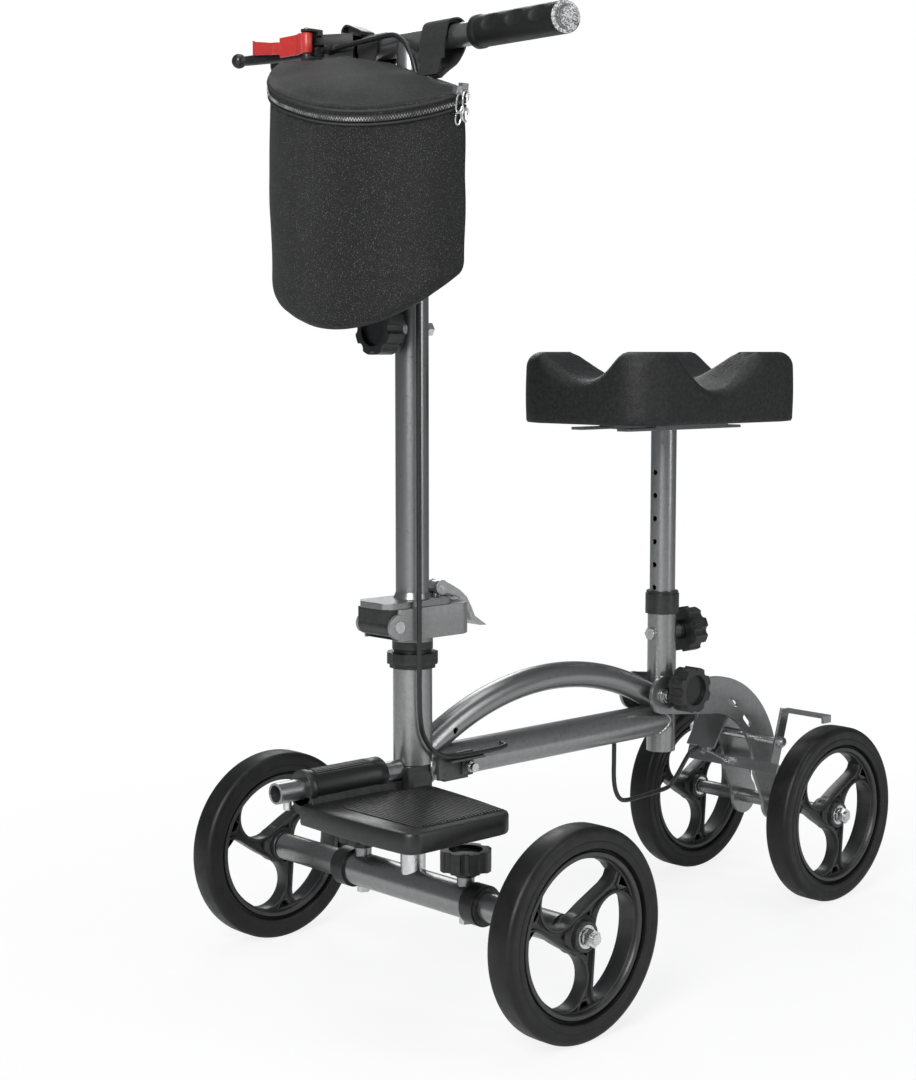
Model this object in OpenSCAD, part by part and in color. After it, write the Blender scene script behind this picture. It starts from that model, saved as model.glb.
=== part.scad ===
// Folding knee scooter: steered front axle, folding column, sliding knee seat,
// fold-up foot rest, folding rear fork and rear tyre brakes.
// Millimetres. +Z is up, the scooter drives towards -Y and the rider's left is +X.
// The origin is on the floor, under the middle of the whole object.

/* [Wheels] */
// Outer radius of every wheel
wheel_r = 100; // [90:1:105]
// Width of a tyre
tyre_w = 30; // [26:1:32]
// Distance between the middles of the two front tyres
front_track = 442; // [430:1:460]
// Distance between the middles of the two rear tyres
rear_track = 203; // [196:1:216]
// Distance from the front axle to the rear axle
wheelbase = 546; // [540:1:560]

/* [Handlebar] */
// Height of the handlebar's middle line
bar_z = 915; // [880:1:950]
// Outer diameter of the handlebar
bar_d = 22.2; // [22:0.1:25.4]
// Half of the length over both grips
bar_half = 208; // [190:1:230]
// Outer diameter of a grip
grip_d = 29; // [27:0.5:33]

/* [Column and head] */
// Outer diameter of the column
column_d = 32.5; // [32:0.5:34]
// Outer diameter of the handlebar post and of the seat post
post_d = 28; // [27:0.5:28.5]
// Height of the column's top end
column_top = 690; // [660:1:700]
// Height of the clamp knob on the column
column_knob_z = 646; // [630:1:650]
// Outer diameter of the head tube
head_d = 38.5; // [37:0.5:42]

/* [Seat] */
// Distance from the front axle to the seat post
seat_back = 370; // [365:1:375]
// Height of the underside of the knee pad
pad_z = 548; // [540:1:560]
// Width, length and height of the knee pad
pad_size = [190, 270, 76]; // [60:1:300]
// Outer diameter of the seat tube
seat_tube_d = 31.8; // [31:0.1:33]

/* [Frame] */
// Outer diameter of the straight main tube
main_d = 35; // [32:0.5:36]
// Height of the main tube's middle line
main_z = 218.7; // [216:0.1:222]
// Outer diameter of the arched tube
arch_d = 27.5; // [25:0.5:29]
// Bend radius of the arched tube
arch_r = 328; // [320:1:340]

/* [Hidden] */
fine = 64;
medium = 40;
run = 0.05;            // radial clearance of a running fit
gap = 0.3;             // clearance between neighbours that only pass each other

front_y = -238;
seat_y = front_y + seat_back;
rear_y = front_y + wheelbase;
axle_z = wheel_r;

tyre_bore = 81;
shoulder_r = 6;
web_half = 5;
rim_w = 25;
boss_r = 14.5;
bearing_r = 11;
bolt_r = 5;
spokes = 3;

front_x = front_track / 2;
rear_x = rear_track / 2;
axle_d = 34.5;
axle_half = 87;
collar_len = 20;
knob_x = 76;
knob_r = 25;
knob_h = 20;
screw_r = 4;

hinge_y = front_y - 40;
hinge_z = 363;
flange_z = 380;
flange_t = 6;
latch_y = front_y + 31;
latch_z = 394;
hinge_half = 27;
barrel_half = 22.7;
barrel_r = 10.3;

steerer_d = 25;
head_low = 223;
head_high = 318;
cup_high = 336;

pedal_tube_z = 218;
pedal_tube_d = 20;
pedal_tube_front = front_y - 170;
pedal_top = 206;
pedal_t = 20;

pivot_y = front_y + 348;
pivot_z = 250;
lock_z = 256;
plate_in = 20;
plate_t = 4;
sickle_y = front_y + 426;
sickle_z = 137;
sickle_out = 124;
sickle_in = 82;
brake_y = front_y + 505;
brake_z = 182;
arm_x = 60;

hole_pitch = 25.4;
seat_low = 183;
seat_high = 345;
seat_knob_z = 315;

bag_back = front_y - 22;
bag_half = 97;
bag_deep = 118;
bag_slope = 19;

perch_x = -105;
lever_y = front_y - 30;
latch_pin = [-100, front_y - 46];

cable_r = 2.5;
wire_r = 1;
cable_sides = 10;

// The brake cable from the lever perch, down the column and into the main tube
front_route = [
    [-76, -30, 916], [-60, -28, 917.5], [-44, -25, 919], [-30, -22, 920.5], [-16, -19, 922],
    [-4, -17.5, 921.5], [8, -16.5, 915], [18, -16, 901], [26, -16.5, 882], [30, -18, 862],
    [31, -19, 840], [31, -19, 760], [31, -19, 680], [31, -19, 600], [31, -19, 520],
    [31, -19, 440], [31, -19, 400], [31, -19, 345], [31, -19, 300], [31, -18, 275],
    [30, -13, 256], [28, 0, 240], [26, 16, 231], [25, 34, 227], [24.5, 60, 226.5],
    [24, 92, 227], [23, 101, 227.5], [21, 107, 228], [18, 108, 228.5]
];
// The brake cable from the main tube's underside to the rear fork
rear_route = [
    [0, 293, 203], [0, 293, 185], [0, 293, 163], [0, 296, 148], [0, 303, 138], [0, 314, 134.5],
    [0, 340, 135], [0, 368, 136.5], [0, 385, 139], [0, 398, 149], [0, 412, 164], [0, 423, 174],
    [0, 434.5, 176.6]
];
// The bare brake wire between its stop on the rear fork and the brake bar
wire_route = [[0, 446, 171.8], [0, 457, 167], [0, 470, 161]];

// ---- shapes that repeat ----

// Solid round bar along X, from x0 to x1
module bar_x(r, x0, x1, sides = fine) {
    translate([x0, 0, 0])
        rotate([0, 90, 0])
            cylinder(r = r, h = x1 - x0, $fn = sides);
}

// Solid round bar along Y, from y0 to y1
module bar_y(r, y0, y1, sides = fine) {
    translate([0, y0, 0])
        rotate([-90, 0, 0])
            cylinder(r = r, h = y1 - y0, $fn = sides);
}

// Solid round bar along Z, from z0 to z1
module bar_z(r, z0, z1, sides = fine) {
    translate([0, 0, z0])
        cylinder(r = r, h = z1 - z0, $fn = sides);
}

// Block between two corners
module block(low, high) {
    translate(low)
        cube(high - low);
}

// Upright pipe
module pipe_z(r_out, r_in, z0, z1) {
    difference() {
        bar_z(r_out, z0, z1);
        bar_z(r_in, z0 - 1, z1 + 1);
    }
}

// Pipe along X
module pipe_x(r_out, r_in, x0, x1) {
    difference() {
        bar_x(r_out, x0, x1);
        bar_x(r_in, x0 - 1, x1 + 1);
    }
}

// Points of an arc
function arc(cx, cy, r, a0, a1, n = 8) =
    [for (i = [0:n]) [cx + r * cos(a0 + (a1 - a0) * i / n), cy + r * sin(a0 + (a1 - a0) * i / n)]];

// Outline with rounded corners: each corner is [x, y, radius], listed anticlockwise
function unit(v) = v / norm(v);
function corner_points(a, b, c) =
    let (u = unit([a.x - b.x, a.y - b.y]), v = unit([c.x - b.x, c.y - b.y]))
    let (half = acos(u * v) / 2, m = unit(u + v), r = b.z)
    let (mid = [b.x, b.y] + m * r / sin(half), start = atan2(-u.x, u.y) + 180)
    [for (i = [0:6]) mid + r * [cos(start + (180 - 2 * half) * i / 6),
                                sin(start + (180 - 2 * half) * i / 6)]];
function rounded(corners) = let (n = len(corners))
    [for (i = [0:n - 1]) each corner_points(corners[(i + n - 1) % n], corners[i], corners[(i + 1) % n])];

// Star knob on the +Z axis, its base at z = 0, with a dished top and a short shank
module star_knob(shank) {
    lobes = 8;
    difference() {
        union() {
            bar_z(knob_r, 0, knob_h);
            bar_z(knob_r * 0.42, -6, 0, medium);
        }
        for (i = [0:lobes - 1])
            rotate([0, 0, i * 360 / lobes])
                translate([knob_r + 2, 0, 0])
                    bar_z(5.5, -1, knob_h + 1, medium);
        bar_z(knob_r * 0.66, knob_h - 4, knob_h + 1);
    }
    bar_z(screw_r, -6 - shank, -6, medium);
}

// Hexagon nut on the +Z axis
module hex_nut(r, h, hole = 0) {
    difference() {
        cylinder(r = r, h = h, $fn = 6);
        if (hole > 0)
            bar_z(hole, -1, h + 1, medium);
    }
}

// ---- wheels, drawn at the origin with their axle along X ----

module tyre() {
    half = tyre_w / 2;
    color("#1c1c1c")
        rotate([0, 90, 0])
            rotate_extrude($fn = 96)
                polygon(concat(
                    [[tyre_bore, -half + 2], [tyre_bore + 3, -half]],
                    arc(wheel_r - shoulder_r, -half + shoulder_r, shoulder_r, -90, 0, 6),
                    arc(wheel_r - shoulder_r, half - shoulder_r, shoulder_r, 0, 90, 6),
                    [[tyre_bore + 3, half], [tyre_bore, half - 2]]));
}

// One comma-shaped opening of a hub, grown all round by g
module comma(g) {
    polygon(concat(
        arc(44.5, 4, 26 + g, 0, 180, 14),
        [[18 - g, -20], [15.5 - g, -56], [19 - g * 0.7, -64 - g * 0.7]],
        arc(0, 0, 70 + g, -66, -4, 14)));
}

// Cast hub: rim band, thin web with three comma openings, lips, small holes, boss
module hub() {
    half = rim_w / 2;
    half_boss = tyre_w / 2;
    color("#333436")
        rotate([90, 0, 90])
            difference() {
                union() {
                    difference() {
                        union() {
                            bar_z(tyre_bore, -half + 3, half - 3, 96);
                            bar_z(77, -half, half, 96);
                        }
                        bar_z(72, -half - 1, half + 1, 96);
                    }
                    bar_z(73, -web_half, web_half, 96);
                    for (i = [0:spokes - 1])
                        rotate([0, 0, i * 360 / spokes])
                            translate([0, 0, -web_half - 3])
                                linear_extrude(2 * web_half + 6)
                                    comma(2.6);
                    bar_z(boss_r, -half_boss, half_boss);
                }
                for (i = [0:spokes - 1])
                    rotate([0, 0, i * 360 / spokes]) {
                        translate([0, 0, -20])
                            linear_extrude(40)
                                comma(0);
                        rotate([0, 0, 34])
                            translate([0, 0, -20])
                                linear_extrude(40)
                                    polygon([[62, -3], [69, -6], [69, 6], [62, 3]]);
                    }
                bar_z(bearing_r + run, -half_boss - 1, -half_boss + 8);
                bar_z(bearing_r + run, half_boss - 8, half_boss + 1);
                bar_z(bolt_r + 1, -half_boss - 1, half_boss + 1);
            }
}

// Two ball bearings, as plain rings on the axle bolt
module wheel_bearings() {
    half = tyre_w / 2;
    for (side = [-1, 1])
        translate([side * (half - 3.9), 0, 0])
            pipe_x(bearing_r, bolt_r, -3.5, 3.5);
}

module at_front_wheel(side) {
    translate([side * front_x, front_y, axle_z])
        children();
}

module at_rear_wheel(side) {
    translate([side * rear_x, rear_y, axle_z])
        children();
}

// ---- frame ----

module head_tube() {
    color("#5a5b5d")
        translate([0, front_y, 0])
            pipe_z(head_d / 2, 16, head_low, head_high);
}

module headset_cups() {
    bore = steerer_d / 2 + run;
    color("#1e1e20")
        translate([0, front_y, 0]) {
            difference() {
                union() {
                    translate([0, 0, head_high])
                        cylinder(r = 23, h = 4, $fn = 12);
                    translate([0, 0, head_high + 4])
                        cylinder(r = 25.5, h = 11, $fn = 12);
                    bar_z(18.5, head_high + 15, cup_high - gap);
                    bar_z(16, head_high - 9, head_high);
                }
                bar_z(bore, head_high - 20, cup_high + 1);
            }
            pipe_z(16, bore, head_low + 0.3, head_low + 9);
        }
}

module main_tube() {
    color("#5a5b5d")
        difference() {
            translate([0, 0, main_z])
                bar_y(main_d / 2, front_y + 10, seat_y);
            translate([0, 0, main_z])
                bar_y(main_d / 2 - 2, front_y + 9, seat_y + 1);
            translate([0, front_y, 0])
                bar_z(head_d / 2, 100, 400);
            translate([0, seat_y, 0])
                bar_z(seat_tube_d / 2, 100, 400);
            translate([0, front_y + 108, main_z + 9])
                bar_x(3.2, 5, 40, medium);
            translate([0, front_y + 293, 0])
                bar_z(3.2, main_z - 30, main_z, medium);
        }
}

module arch_tube() {
    mid = [0, front_y + 193.5, main_z + 67.3 - arch_r];
    sweep_a = 70;
    color("#5a5b5d")
        difference() {
            union() {
                translate(mid)
                    rotate([90, 0, 90])
                        rotate([0, 0, 90 - sweep_a / 2])
                            rotate_extrude(angle = sweep_a, $fn = 180)
                                translate([arch_r, 0])
                                    circle(r = arch_d / 2, $fn = 48);
                translate([0, pivot_y, pivot_z])
                    bar_x(8.5, -plate_in + gap, plate_in - gap);
            }
            translate(mid)
                rotate([90, 0, 90])
                    rotate([0, 0, 93 - sweep_a / 2])
                        rotate_extrude(angle = sweep_a, $fn = 180)
                            translate([arch_r, 0])
                                circle(r = arch_d / 2 - 2, $fn = 48);
            translate([0, 0, main_z])
                bar_y(main_d / 2, front_y - 50, seat_y + 60);
            translate([0, front_y, 0])
                bar_z(head_d / 2, 100, 400);
            translate([0, seat_y, 0])
                bar_z(seat_tube_d / 2, 100, 400);
            block([-60, front_y - 60, 100], [60, front_y, 400]);
            block([-60, seat_y, 100], [60, seat_y + 60, 400]);
            translate([0, pivot_y, pivot_z])
                bar_x(screw_r, -30, 30, medium);
            translate([0, front_y + 45, 250])
                bar_x(3.25, -30, 30, medium);
        }
}

module seat_tube() {
    color("#5a5b5d")
        translate([0, seat_y, 0])
            difference() {
                union() {
                    bar_z(seat_tube_d / 2, seat_low, seat_high);
                    translate([0, 0, lock_z])
                        bar_x(8, -plate_in + gap, plate_in - gap);
                    translate([0, 0, seat_knob_z])
                        bar_y(9, 0, 24);
                }
                bar_z(post_d / 2 + run, seat_low - 1, seat_high + 1);
                translate([0, 0, seat_knob_z])
                    bar_y(screw_r + run, 8, 25, medium);
            }
}

// Folded side plates that tie the main tube to the head tube, with the steering stop
module head_bracket() {
    inner = main_d / 2 + 0.2;
    outer = inner + 2.8;
    color("#3f4042")
        difference() {
            union() {
                for (side = [0, 1])
                    mirror([side, 0, 0])
                        block([inner - 0.7, front_y + 16, 205], [outer, front_y + 62, 230]);
                block([outer, front_y + 46, 207], [outer + 2, front_y + 61, 222]);
                block([outer, front_y + 26, 222], [outer + 7.5, front_y + 72, 224]);
                block([-inner, front_y + 26, 202], [inner, front_y + 58, 205.5]);
            }
            translate([0, front_y, 0])
                bar_z(head_d / 2, 100, 400);
            translate([0, 0, main_z])
                bar_y(main_d / 2, front_y, front_y + 100);
        }
}

module seat_collar() {
    color("#1e1e20")
        translate([0, seat_y, 0])
            difference() {
                union() {
                    bar_z(18.6, seat_high - 8, seat_high + 14);
                    bar_z(17.6, seat_high + 14, seat_high + 17);
                }
                bar_z(seat_tube_d / 2, seat_high - 9, seat_high);
                bar_z(post_d / 2 + run, seat_high - 1, seat_high + 20);
            }
}

module pivot_bolt() {
    far = plate_in + plate_t + gap;
    color("#c4c6c8")
        translate([0, pivot_y, pivot_z]) {
            bar_x(screw_r, -far - 9, far + 5.3, medium);
            for (side = [0, 180])
                rotate([0, 0, side])
                    translate([far, 0, 0])
                        rotate([0, 90, 0]) {
                            hex_nut(7.5, 4.6, screw_r);
                            difference() {
                                bar_z(8.5, 0, 1.2, medium);
                                bar_z(7.5, -1, 3, medium);
                            }
                        }
        }
}

// Seat clamp nut, bracket bolt and the clip that holds the brake cable
module frame_fasteners() {
    side = main_d / 2 + 5;
    color("#c4c6c8") {
        translate([0, seat_y - seat_tube_d / 2 - 5.2, seat_knob_z])
            rotate([-90, 0, 0])
                difference() {
                    hex_nut(7, 7);
                    translate([0, 0, 5.2 + seat_tube_d / 2])
                        rotate([90, 0, 0])
                            bar_z(seat_tube_d / 2, -20, 20);
                }
        translate([side, front_y + 54, 214.5])
            rotate([0, 90, 0]) {
                hex_nut(5.5, 4);
                bar_z(2.5, 4, 7, medium);
                bar_z(4.5, 7, 10.5, medium);
            }
    }
}

// ---- steered front end ----

module steerer() {
    color("#d2d4d6")
        translate([0, front_y, 0])
            difference() {
                bar_z(steerer_d / 2, axle_z + 5, 346);
                bar_z(steerer_d / 2 - 2.5, axle_z + 4, 347);
                translate([0, 0, axle_z])
                    bar_x(axle_d / 2, -40, 40);
            }
}

module stem_block() {
    color("#1c1c1e")
        translate([0, front_y, 0])
            difference() {
                union() {
                    intersection() {
                        block([-16, -20, 195], [16, 19, head_low - 0.5]);
                        union() {
                            bar_z(head_d / 2 - gap, 190, head_low);
                            block([-16, -20, 190], [16, 0, head_low]);
                        }
                    }
                    block([-9, -30, 196], [9, -20, 209]);
                    bar_z(20, cup_high + 0.3, 344);
                }
                bar_z(steerer_d / 2, 150, 450);
                translate([0, 0, pedal_tube_z])
                    bar_y(pedal_tube_d / 2, -60, -20);
            }
}

module front_axle_tube() {
    color("#4c4d50")
        translate([0, front_y, axle_z])
            difference() {
                union() {
                    bar_x(axle_d / 2, -axle_half, axle_half);
                    for (side = [-1, 1])
                        translate([side * knob_x, 0, 0])
                            bar_z(8.5, 0, 24, medium);
                }
                bar_x(post_d / 2 + run, -axle_half - 1, axle_half + 1);
                for (side = [-1, 1])
                    translate([side * knob_x, 0, 0])
                        bar_z(screw_r + run, 0, 25, medium);
            }
}

module axle_collars() {
    color("#161617")
        translate([0, front_y, axle_z])
            for (side = [0, 180])
                rotate([0, 0, side])
                    difference() {
                        union() {
                            bar_x(20, axle_half, axle_half + collar_len - 3);
                            bar_x(18.5, axle_half + collar_len - 3, axle_half + collar_len);
                            bar_x(18.2, axle_half - 2, axle_half);
                        }
                        bar_x(axle_d / 2, axle_half - 3, axle_half);
                        bar_x(post_d / 2 + run, axle_half - 1, axle_half + collar_len + 1);
                    }
}

// Hinge pin, axle clamp nuts and the foot rest's end stop
module steering_fasteners() {
    color("#c4c6c8") {
        translate([0, hinge_y, hinge_z]) {
            bar_x(screw_r, -hinge_half + 1, hinge_half - 1, medium);
            for (side = [0, 180])
                rotate([0, 0, side])
                    bar_x(6, hinge_half - 2.5, hinge_half + 0.8, medium);
        }
        for (side = [-1, 1])
            translate([side * knob_x, front_y, axle_z - axle_d / 2 - 5])
                difference() {
                    hex_nut(6.5, 8);
                    translate([0, 0, 5 + axle_d / 2])
                        bar_x(axle_d / 2, -20, 20);
                }
        translate([0, pedal_tube_front + 14, pedal_tube_z - pedal_tube_d / 2 - 7])
            difference() {
                bar_z(4, 0, 10, medium);
                translate([0, 0, 7 + pedal_tube_d / 2])
                    bar_y(pedal_tube_d / 2, -10, 10);
            }
    }
}

// Cast hinge half on the steerer: two eyes at the front, a channel for the latch bolt
// at the back
module lower_hinge() {
    top = flange_z - gap;
    low = 344;
    color("#8d8f91")
        difference() {
            union() {
                translate([0, front_y, 0])
                    bar_z(20, low, 352);
                translate([0, 0, 349])
                    linear_extrude(top - 349)
                        polygon(rounded([[hinge_half, hinge_y, 3], [hinge_half, front_y + 44, 10],
                                         [20, front_y + 56, 9], [-20, front_y + 56, 9],
                                         [-hinge_half, front_y + 44, 10],
                                         [-hinge_half, hinge_y, 3]]));
                translate([0, hinge_y, hinge_z]) {
                    bar_x(12, 0, hinge_half);
                    bar_x(9.5, -hinge_half, 0);
                }
            }
            translate([0, hinge_y, hinge_z])
                bar_x(14.5, -barrel_half - gap, barrel_half + gap);
            block([-barrel_half - gap, hinge_y - 20, 340], [barrel_half + gap, hinge_y, 400]);
            block([-barrel_half - gap, hinge_y - 20, hinge_z],
                  [barrel_half + gap, hinge_y + 16, 400]);
            translate([0, hinge_y, hinge_z]) {
                bar_x(screw_r, -60, 60, medium);
                for (side = [0, 180])
                    rotate([0, 0, side])
                        bar_x(6, hinge_half - 2.5, hinge_half + 5, medium);
            }
            block([-4.5, latch_y - 5, 340], [4.5, latch_y + 40, 400]);
            translate([0, front_y, 0])
                bar_z(steerer_d / 2, 300, 346);
        }
}

module pedal_tube() {
    color("#77797b")
        translate([0, 0, pedal_tube_z])
            difference() {
                bar_y(pedal_tube_d / 2, pedal_tube_front, front_y - 20);
                bar_y(pedal_tube_d / 2 - 2, pedal_tube_front - 1, front_y - 19);
            }
}

// Foot rest with the sleeve that turns on its tube
module foot_rest() {
    plate = [[29, -3, 6], [8, -22, 6], [6, -150, 12], [165, -152, 16], [165, -19, 20]];
    low = pedal_top - pedal_t;
    color("#1d1d1f")
        translate([0, front_y, 0])
            difference() {
                union() {
                    translate([0, 0, low])
                        linear_extrude(pedal_t)
                            polygon(rounded(plate));
                    block([-10, -141, low + 6], [24, -43, pedal_tube_z]);
                    translate([0, 0, pedal_tube_z])
                        bar_y(17, -141, -43);
                }
                translate([0, 0, pedal_tube_z])
                    bar_y(pedal_tube_d / 2 + run, -200, 20);
                block([-12, -42.5, low - 1], [21, 20, pedal_top + 1]);
            }
}

module axle_knob(side) {
    color("#1b1b1d")
        translate([side * knob_x, front_y, axle_z + 24 + gap + 6])
            star_knob(9);
}

module front_stub(side) {
    outer = front_x - tyre_w / 2 - 3;
    color("#37383a")
        translate([0, front_y, axle_z])
            rotate([0, 0, side > 0 ? 0 : 180])
                difference() {
                    bar_x(post_d / 2, 60, outer);
                    bar_x(post_d / 2 - 3, 59, outer - 20);
                    bar_x(bolt_r, outer - 21, outer + 1, medium);
                }
}

module front_bolt(side) {
    outer = front_x - tyre_w / 2 - 3;
    face = front_x + tyre_w / 2;
    color("#d8dadc")
        translate([0, front_y, axle_z])
            rotate([0, 0, side > 0 ? 0 : 180]) {
                bar_x(bolt_r, outer - 19, face + 12, medium);
                pipe_x(9, bolt_r, outer, outer + 2.4);
                pipe_x(8, bolt_r, face + 0.6, face + 1.8);
                translate([face + 1.8, 0, 0])
                    rotate([0, 90, 0])
                        hex_nut(8.5, 7, bolt_r);
                translate([front_x, 0, 0])
                    wheel_bearings();
            }
}

// ---- column ----

module column_tube() {
    outer = column_d / 2;
    color("#5f6062")
        difference() {
            union() {
                translate([0, front_y, 0]) {
                    bar_z(outer, flange_z + 1, column_top);
                    translate([0, 0, flange_z + flange_t])
                        cylinder(r1 = outer + 2.5, r2 = outer, h = 6, $fn = fine);
                    translate([0, 0, column_knob_z])
                        bar_y(9, -24, 0, medium);
                }
                translate([0, 0, flange_z])
                    linear_extrude(flange_t)
                        polygon(rounded([[16, hinge_y - 13, 4], [25, hinge_y - 5, 5],
                                         [25, latch_y - 4, 8], [12, latch_y + 9, 5],
                                         [-12, latch_y + 9, 5], [-25, latch_y - 4, 8],
                                         [-25, hinge_y - 5, 5], [-16, hinge_y - 13, 4]]));
            }
            translate([0, front_y, 0]) {
                bar_z(post_d / 2 + run, flange_z + 10, column_top + 1);
                translate([0, 0, column_knob_z])
                    bar_y(screw_r + run, -25, -5, medium);
            }
            translate([0, latch_y, 0])
                bar_z(3.5, flange_z - 5, flange_z + 20, medium);
        }
}

module hinge_barrel() {
    color("#161617")
        difference() {
            union() {
                translate([0, hinge_y, hinge_z])
                    bar_x(barrel_r, -barrel_half, barrel_half);
                block([-barrel_half, hinge_y - 10, hinge_z],
                      [barrel_half, hinge_y + 6, flange_z]);
            }
            translate([0, hinge_y, hinge_z])
                bar_x(screw_r + run, -40, 40, medium);
        }
}

module column_collar() {
    color("#1e1e20")
        translate([0, front_y, 0])
            difference() {
                union() {
                    bar_z(18.8, column_top - 10, column_top + 8);
                    bar_z(17.5, column_top + 8, column_top + 11);
                }
                bar_z(column_d / 2, column_top - 11, column_top);
                bar_z(post_d / 2 + run, column_top - 1, column_top + 12);
            }
}

// Latch bolt with its eye and pin, and the nut of the column clamp
module column_fasteners() {
    color("#bfc1c3") {
        translate([0, latch_y, 0]) {
            bar_z(3, 352, latch_z, medium);
            bar_z(5.5, flange_z + flange_t, latch_z - 7.5, medium);
            translate([0, 0, latch_z]) {
                bar_x(6.5, -4.4, 4.4, medium);
                bar_x(2.5, -10, 10, medium);
            }
        }
        translate([0, front_y + column_d / 2 + 7.2, column_knob_z])
            rotate([90, 0, 0])
                hex_nut(7, 7);
    }
}

// Quick-release lever: two cheeks on the latch pin and a curved paddle behind them
module cam_lever() {
    color("#9b9da0")
        translate([0, latch_y, latch_z])
            difference() {
                union() {
                    for (side = [0, 180])
                        rotate([0, 0, side])
                            bar_x(7.5, 4.8, 9.5, medium);
                    translate([-9.5, 0, 0])
                        rotate([90, 0, 90])
                            linear_extrude(19)
                                polygon([[5, 5.4], [14, 1], [24, -4.5], [33, -12], [39, -22],
                                         [44, -32], [60, -42.5], [51, -42], [40, -36], [34, -26],
                                         [28, -15.5], [20, -10], [9, -6.8], [3, -5]]);
                }
                bar_x(2.5 + run, -20, 20, medium);
                block([-4.8, -10, -9], [4.8, 12, 10]);
            }
}

module column_knob() {
    color("#1b1b1d")
        translate([0, front_y - 24 - gap - 6, column_knob_z])
            rotate([90, 0, 0])
                star_knob(9);
}

// ---- handlebar ----

module handlebar_post() {
    color("#7b7d80")
        translate([0, front_y, 0])
            difference() {
                bar_z(post_d / 2, 500, bar_z);
                bar_z(post_d / 2 - 2, 499, bar_z - bar_d / 2 - 3);
                translate([0, 0, bar_z])
                    bar_x(bar_d / 2, -40, 40);
            }
}

module handlebar() {
    color("#2a2b2d")
        translate([0, front_y, bar_z])
            pipe_x(bar_d / 2, bar_d / 2 - 2, -bar_half + 4, bar_half - 4);
}

// Grip with three finger bumps, on the side given
module grip(side) {
    inner = bar_half - 115;
    color("#171718")
        translate([0, front_y, bar_z])
            rotate([0, 0, side > 0 ? 0 : 180])
                difference() {
                    union() {
                        bar_x(grip_d / 2, inner, bar_half);
                        bar_x(grip_d / 2 + 1, inner, inner + 6);
                    }
                    bar_x(bar_d / 2, inner - 1, bar_half - 4);
                }
}

// Brake lever perch: clamp round the bar, arm with a slot for the lever, lugs for the
// parking latch, cable adjuster and the curled tab on top
module brake_perch() {
    color("#333436")
        difference() {
            union() {
                translate([0, front_y, bar_z])
                    bar_x(16, -91, -66);
                translate([0, front_y, 905])
                    linear_extrude(26)
                        polygon([[-66, -4], [-92, -4], [-92, -16.2], [-125, -16.2], [-125, -26],
                                 [-117, -38], [-104, -38], [-92, -32], [-66, -17]]);
                translate([0, lever_y, 916])
                    bar_x(3.6, -93, -76, medium);
                block([-106, front_y - 38, 930], [-94, front_y - 30, 933]);
                block([-106, front_y - 51, 932.3], [-94, front_y - 30, 935]);
                block([-106, front_y - 51, 905], [-94, front_y - 30, 908.9]);
                translate(latch_pin)
                    bar_z(4.5, 905, 911.7, medium);
                translate([0, front_y + 8, 0])
                    rotate([90, 0, 0])
                        linear_extrude(16)
                            polygon([[-86, 929], [-62, 929], [-62, 933], [-86, 941]]);
                translate([-87.5, front_y, 935.5])
                    bar_y(5.5, -8, 8, medium);
            }
            translate([-87.5, front_y, 935.5])
                bar_y(3, -9, 9, medium);
            translate([0, front_y, bar_z])
                bar_x(bar_d / 2, -140, -60);
            block([-140, front_y - 39.5, 909.2], [-93.5, front_y - 12, 920.3]);
            translate([perch_x, lever_y, 0])
                bar_z(3, 900, 940, medium);
            translate(latch_pin)
                bar_z(2, 900, 940, medium);
        }
    color("#c4c6c8") {
        translate([perch_x, lever_y, 0]) {
            bar_z(3, 903, 931, medium);
            bar_z(5.5, 931, 933.5, medium);
        }
        translate(latch_pin) {
            bar_z(2, 904, 935, medium);
            bar_z(3.5, 935, 936.5, medium);
        }
    }
}

module brake_lever() {
    ball = [-206, front_y - 49, 916];
    blade = rounded([[-98, lever_y - 7, 4], [-98, lever_y + 8, 4], [-125, lever_y + 6, 3],
                     [-204, front_y - 42, 2], [-204, front_y - 47, 2]]);
    color("#1c1c1e")
        difference() {
            union() {
                translate([0, 0, 909.5])
                    linear_extrude(10.5)
                        polygon(blade);
                translate(ball)
                    sphere(r = 7.5, $fn = medium);
            }
            translate([perch_x, lever_y, 0])
                bar_z(3 + run, 890, 930, medium);
        }
}

// Red parking latch: an upright plate in front of the lever, on its own upright pin
module parking_latch() {
    color("#c8282c")
        difference() {
            union() {
                translate(latch_pin)
                    bar_z(5, 912, 932, medium);
                translate([0, front_y - 48, 0])
                    rotate([90, 0, 0])
                        linear_extrude(3.5)
                            polygon([[-100, 932], [-136, 930.5], [-136, 926], [-183, 934],
                                     [-183, 920], [-136, 915.5], [-136, 911.8], [-100, 912]]);
            }
            translate(latch_pin)
                bar_z(2 + run, 900, 940, medium);
        }
}

// Plain closed form of the bag that hangs in front of the handlebar
module bag() {
    side = [for (a = [0:7.5:180]) [bag_half * cos(a), -bag_deep * sin(a)]];
    color("#262628")
        translate([0, bag_back, 0])
            difference() {
                translate([0, 0, 640])
                    linear_extrude(260)
                        polygon(side);
                translate([0, 0, 699])
                    rotate([bag_slope, 0, 0])
                        block([-150, -200, -120], [150, 50, 0]);
                translate([0, 0, 885])
                    rotate([bag_slope - 1, 0, 0])
                        block([-150, -200, 0], [150, 50, 120]);
            }
}

module bag_straps() {
    color("#2b2b2d")
        translate([0, front_y, bar_z])
            for (span = [[-60, -34], [34, 62]]) {
                pipe_x(bar_d / 2 + 3, bar_d / 2 + 0.4, span[0], span[1]);
                block([span[0], -20, -52], [span[1], -17.5, -12]);
                difference() {
                    block([span[0], -20, -12], [span[1], -8, -8]);
                    bar_x(bar_d / 2 + 3, span[0] - 1, span[1] + 1);
                }
            }
}

// ---- seat ----

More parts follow.
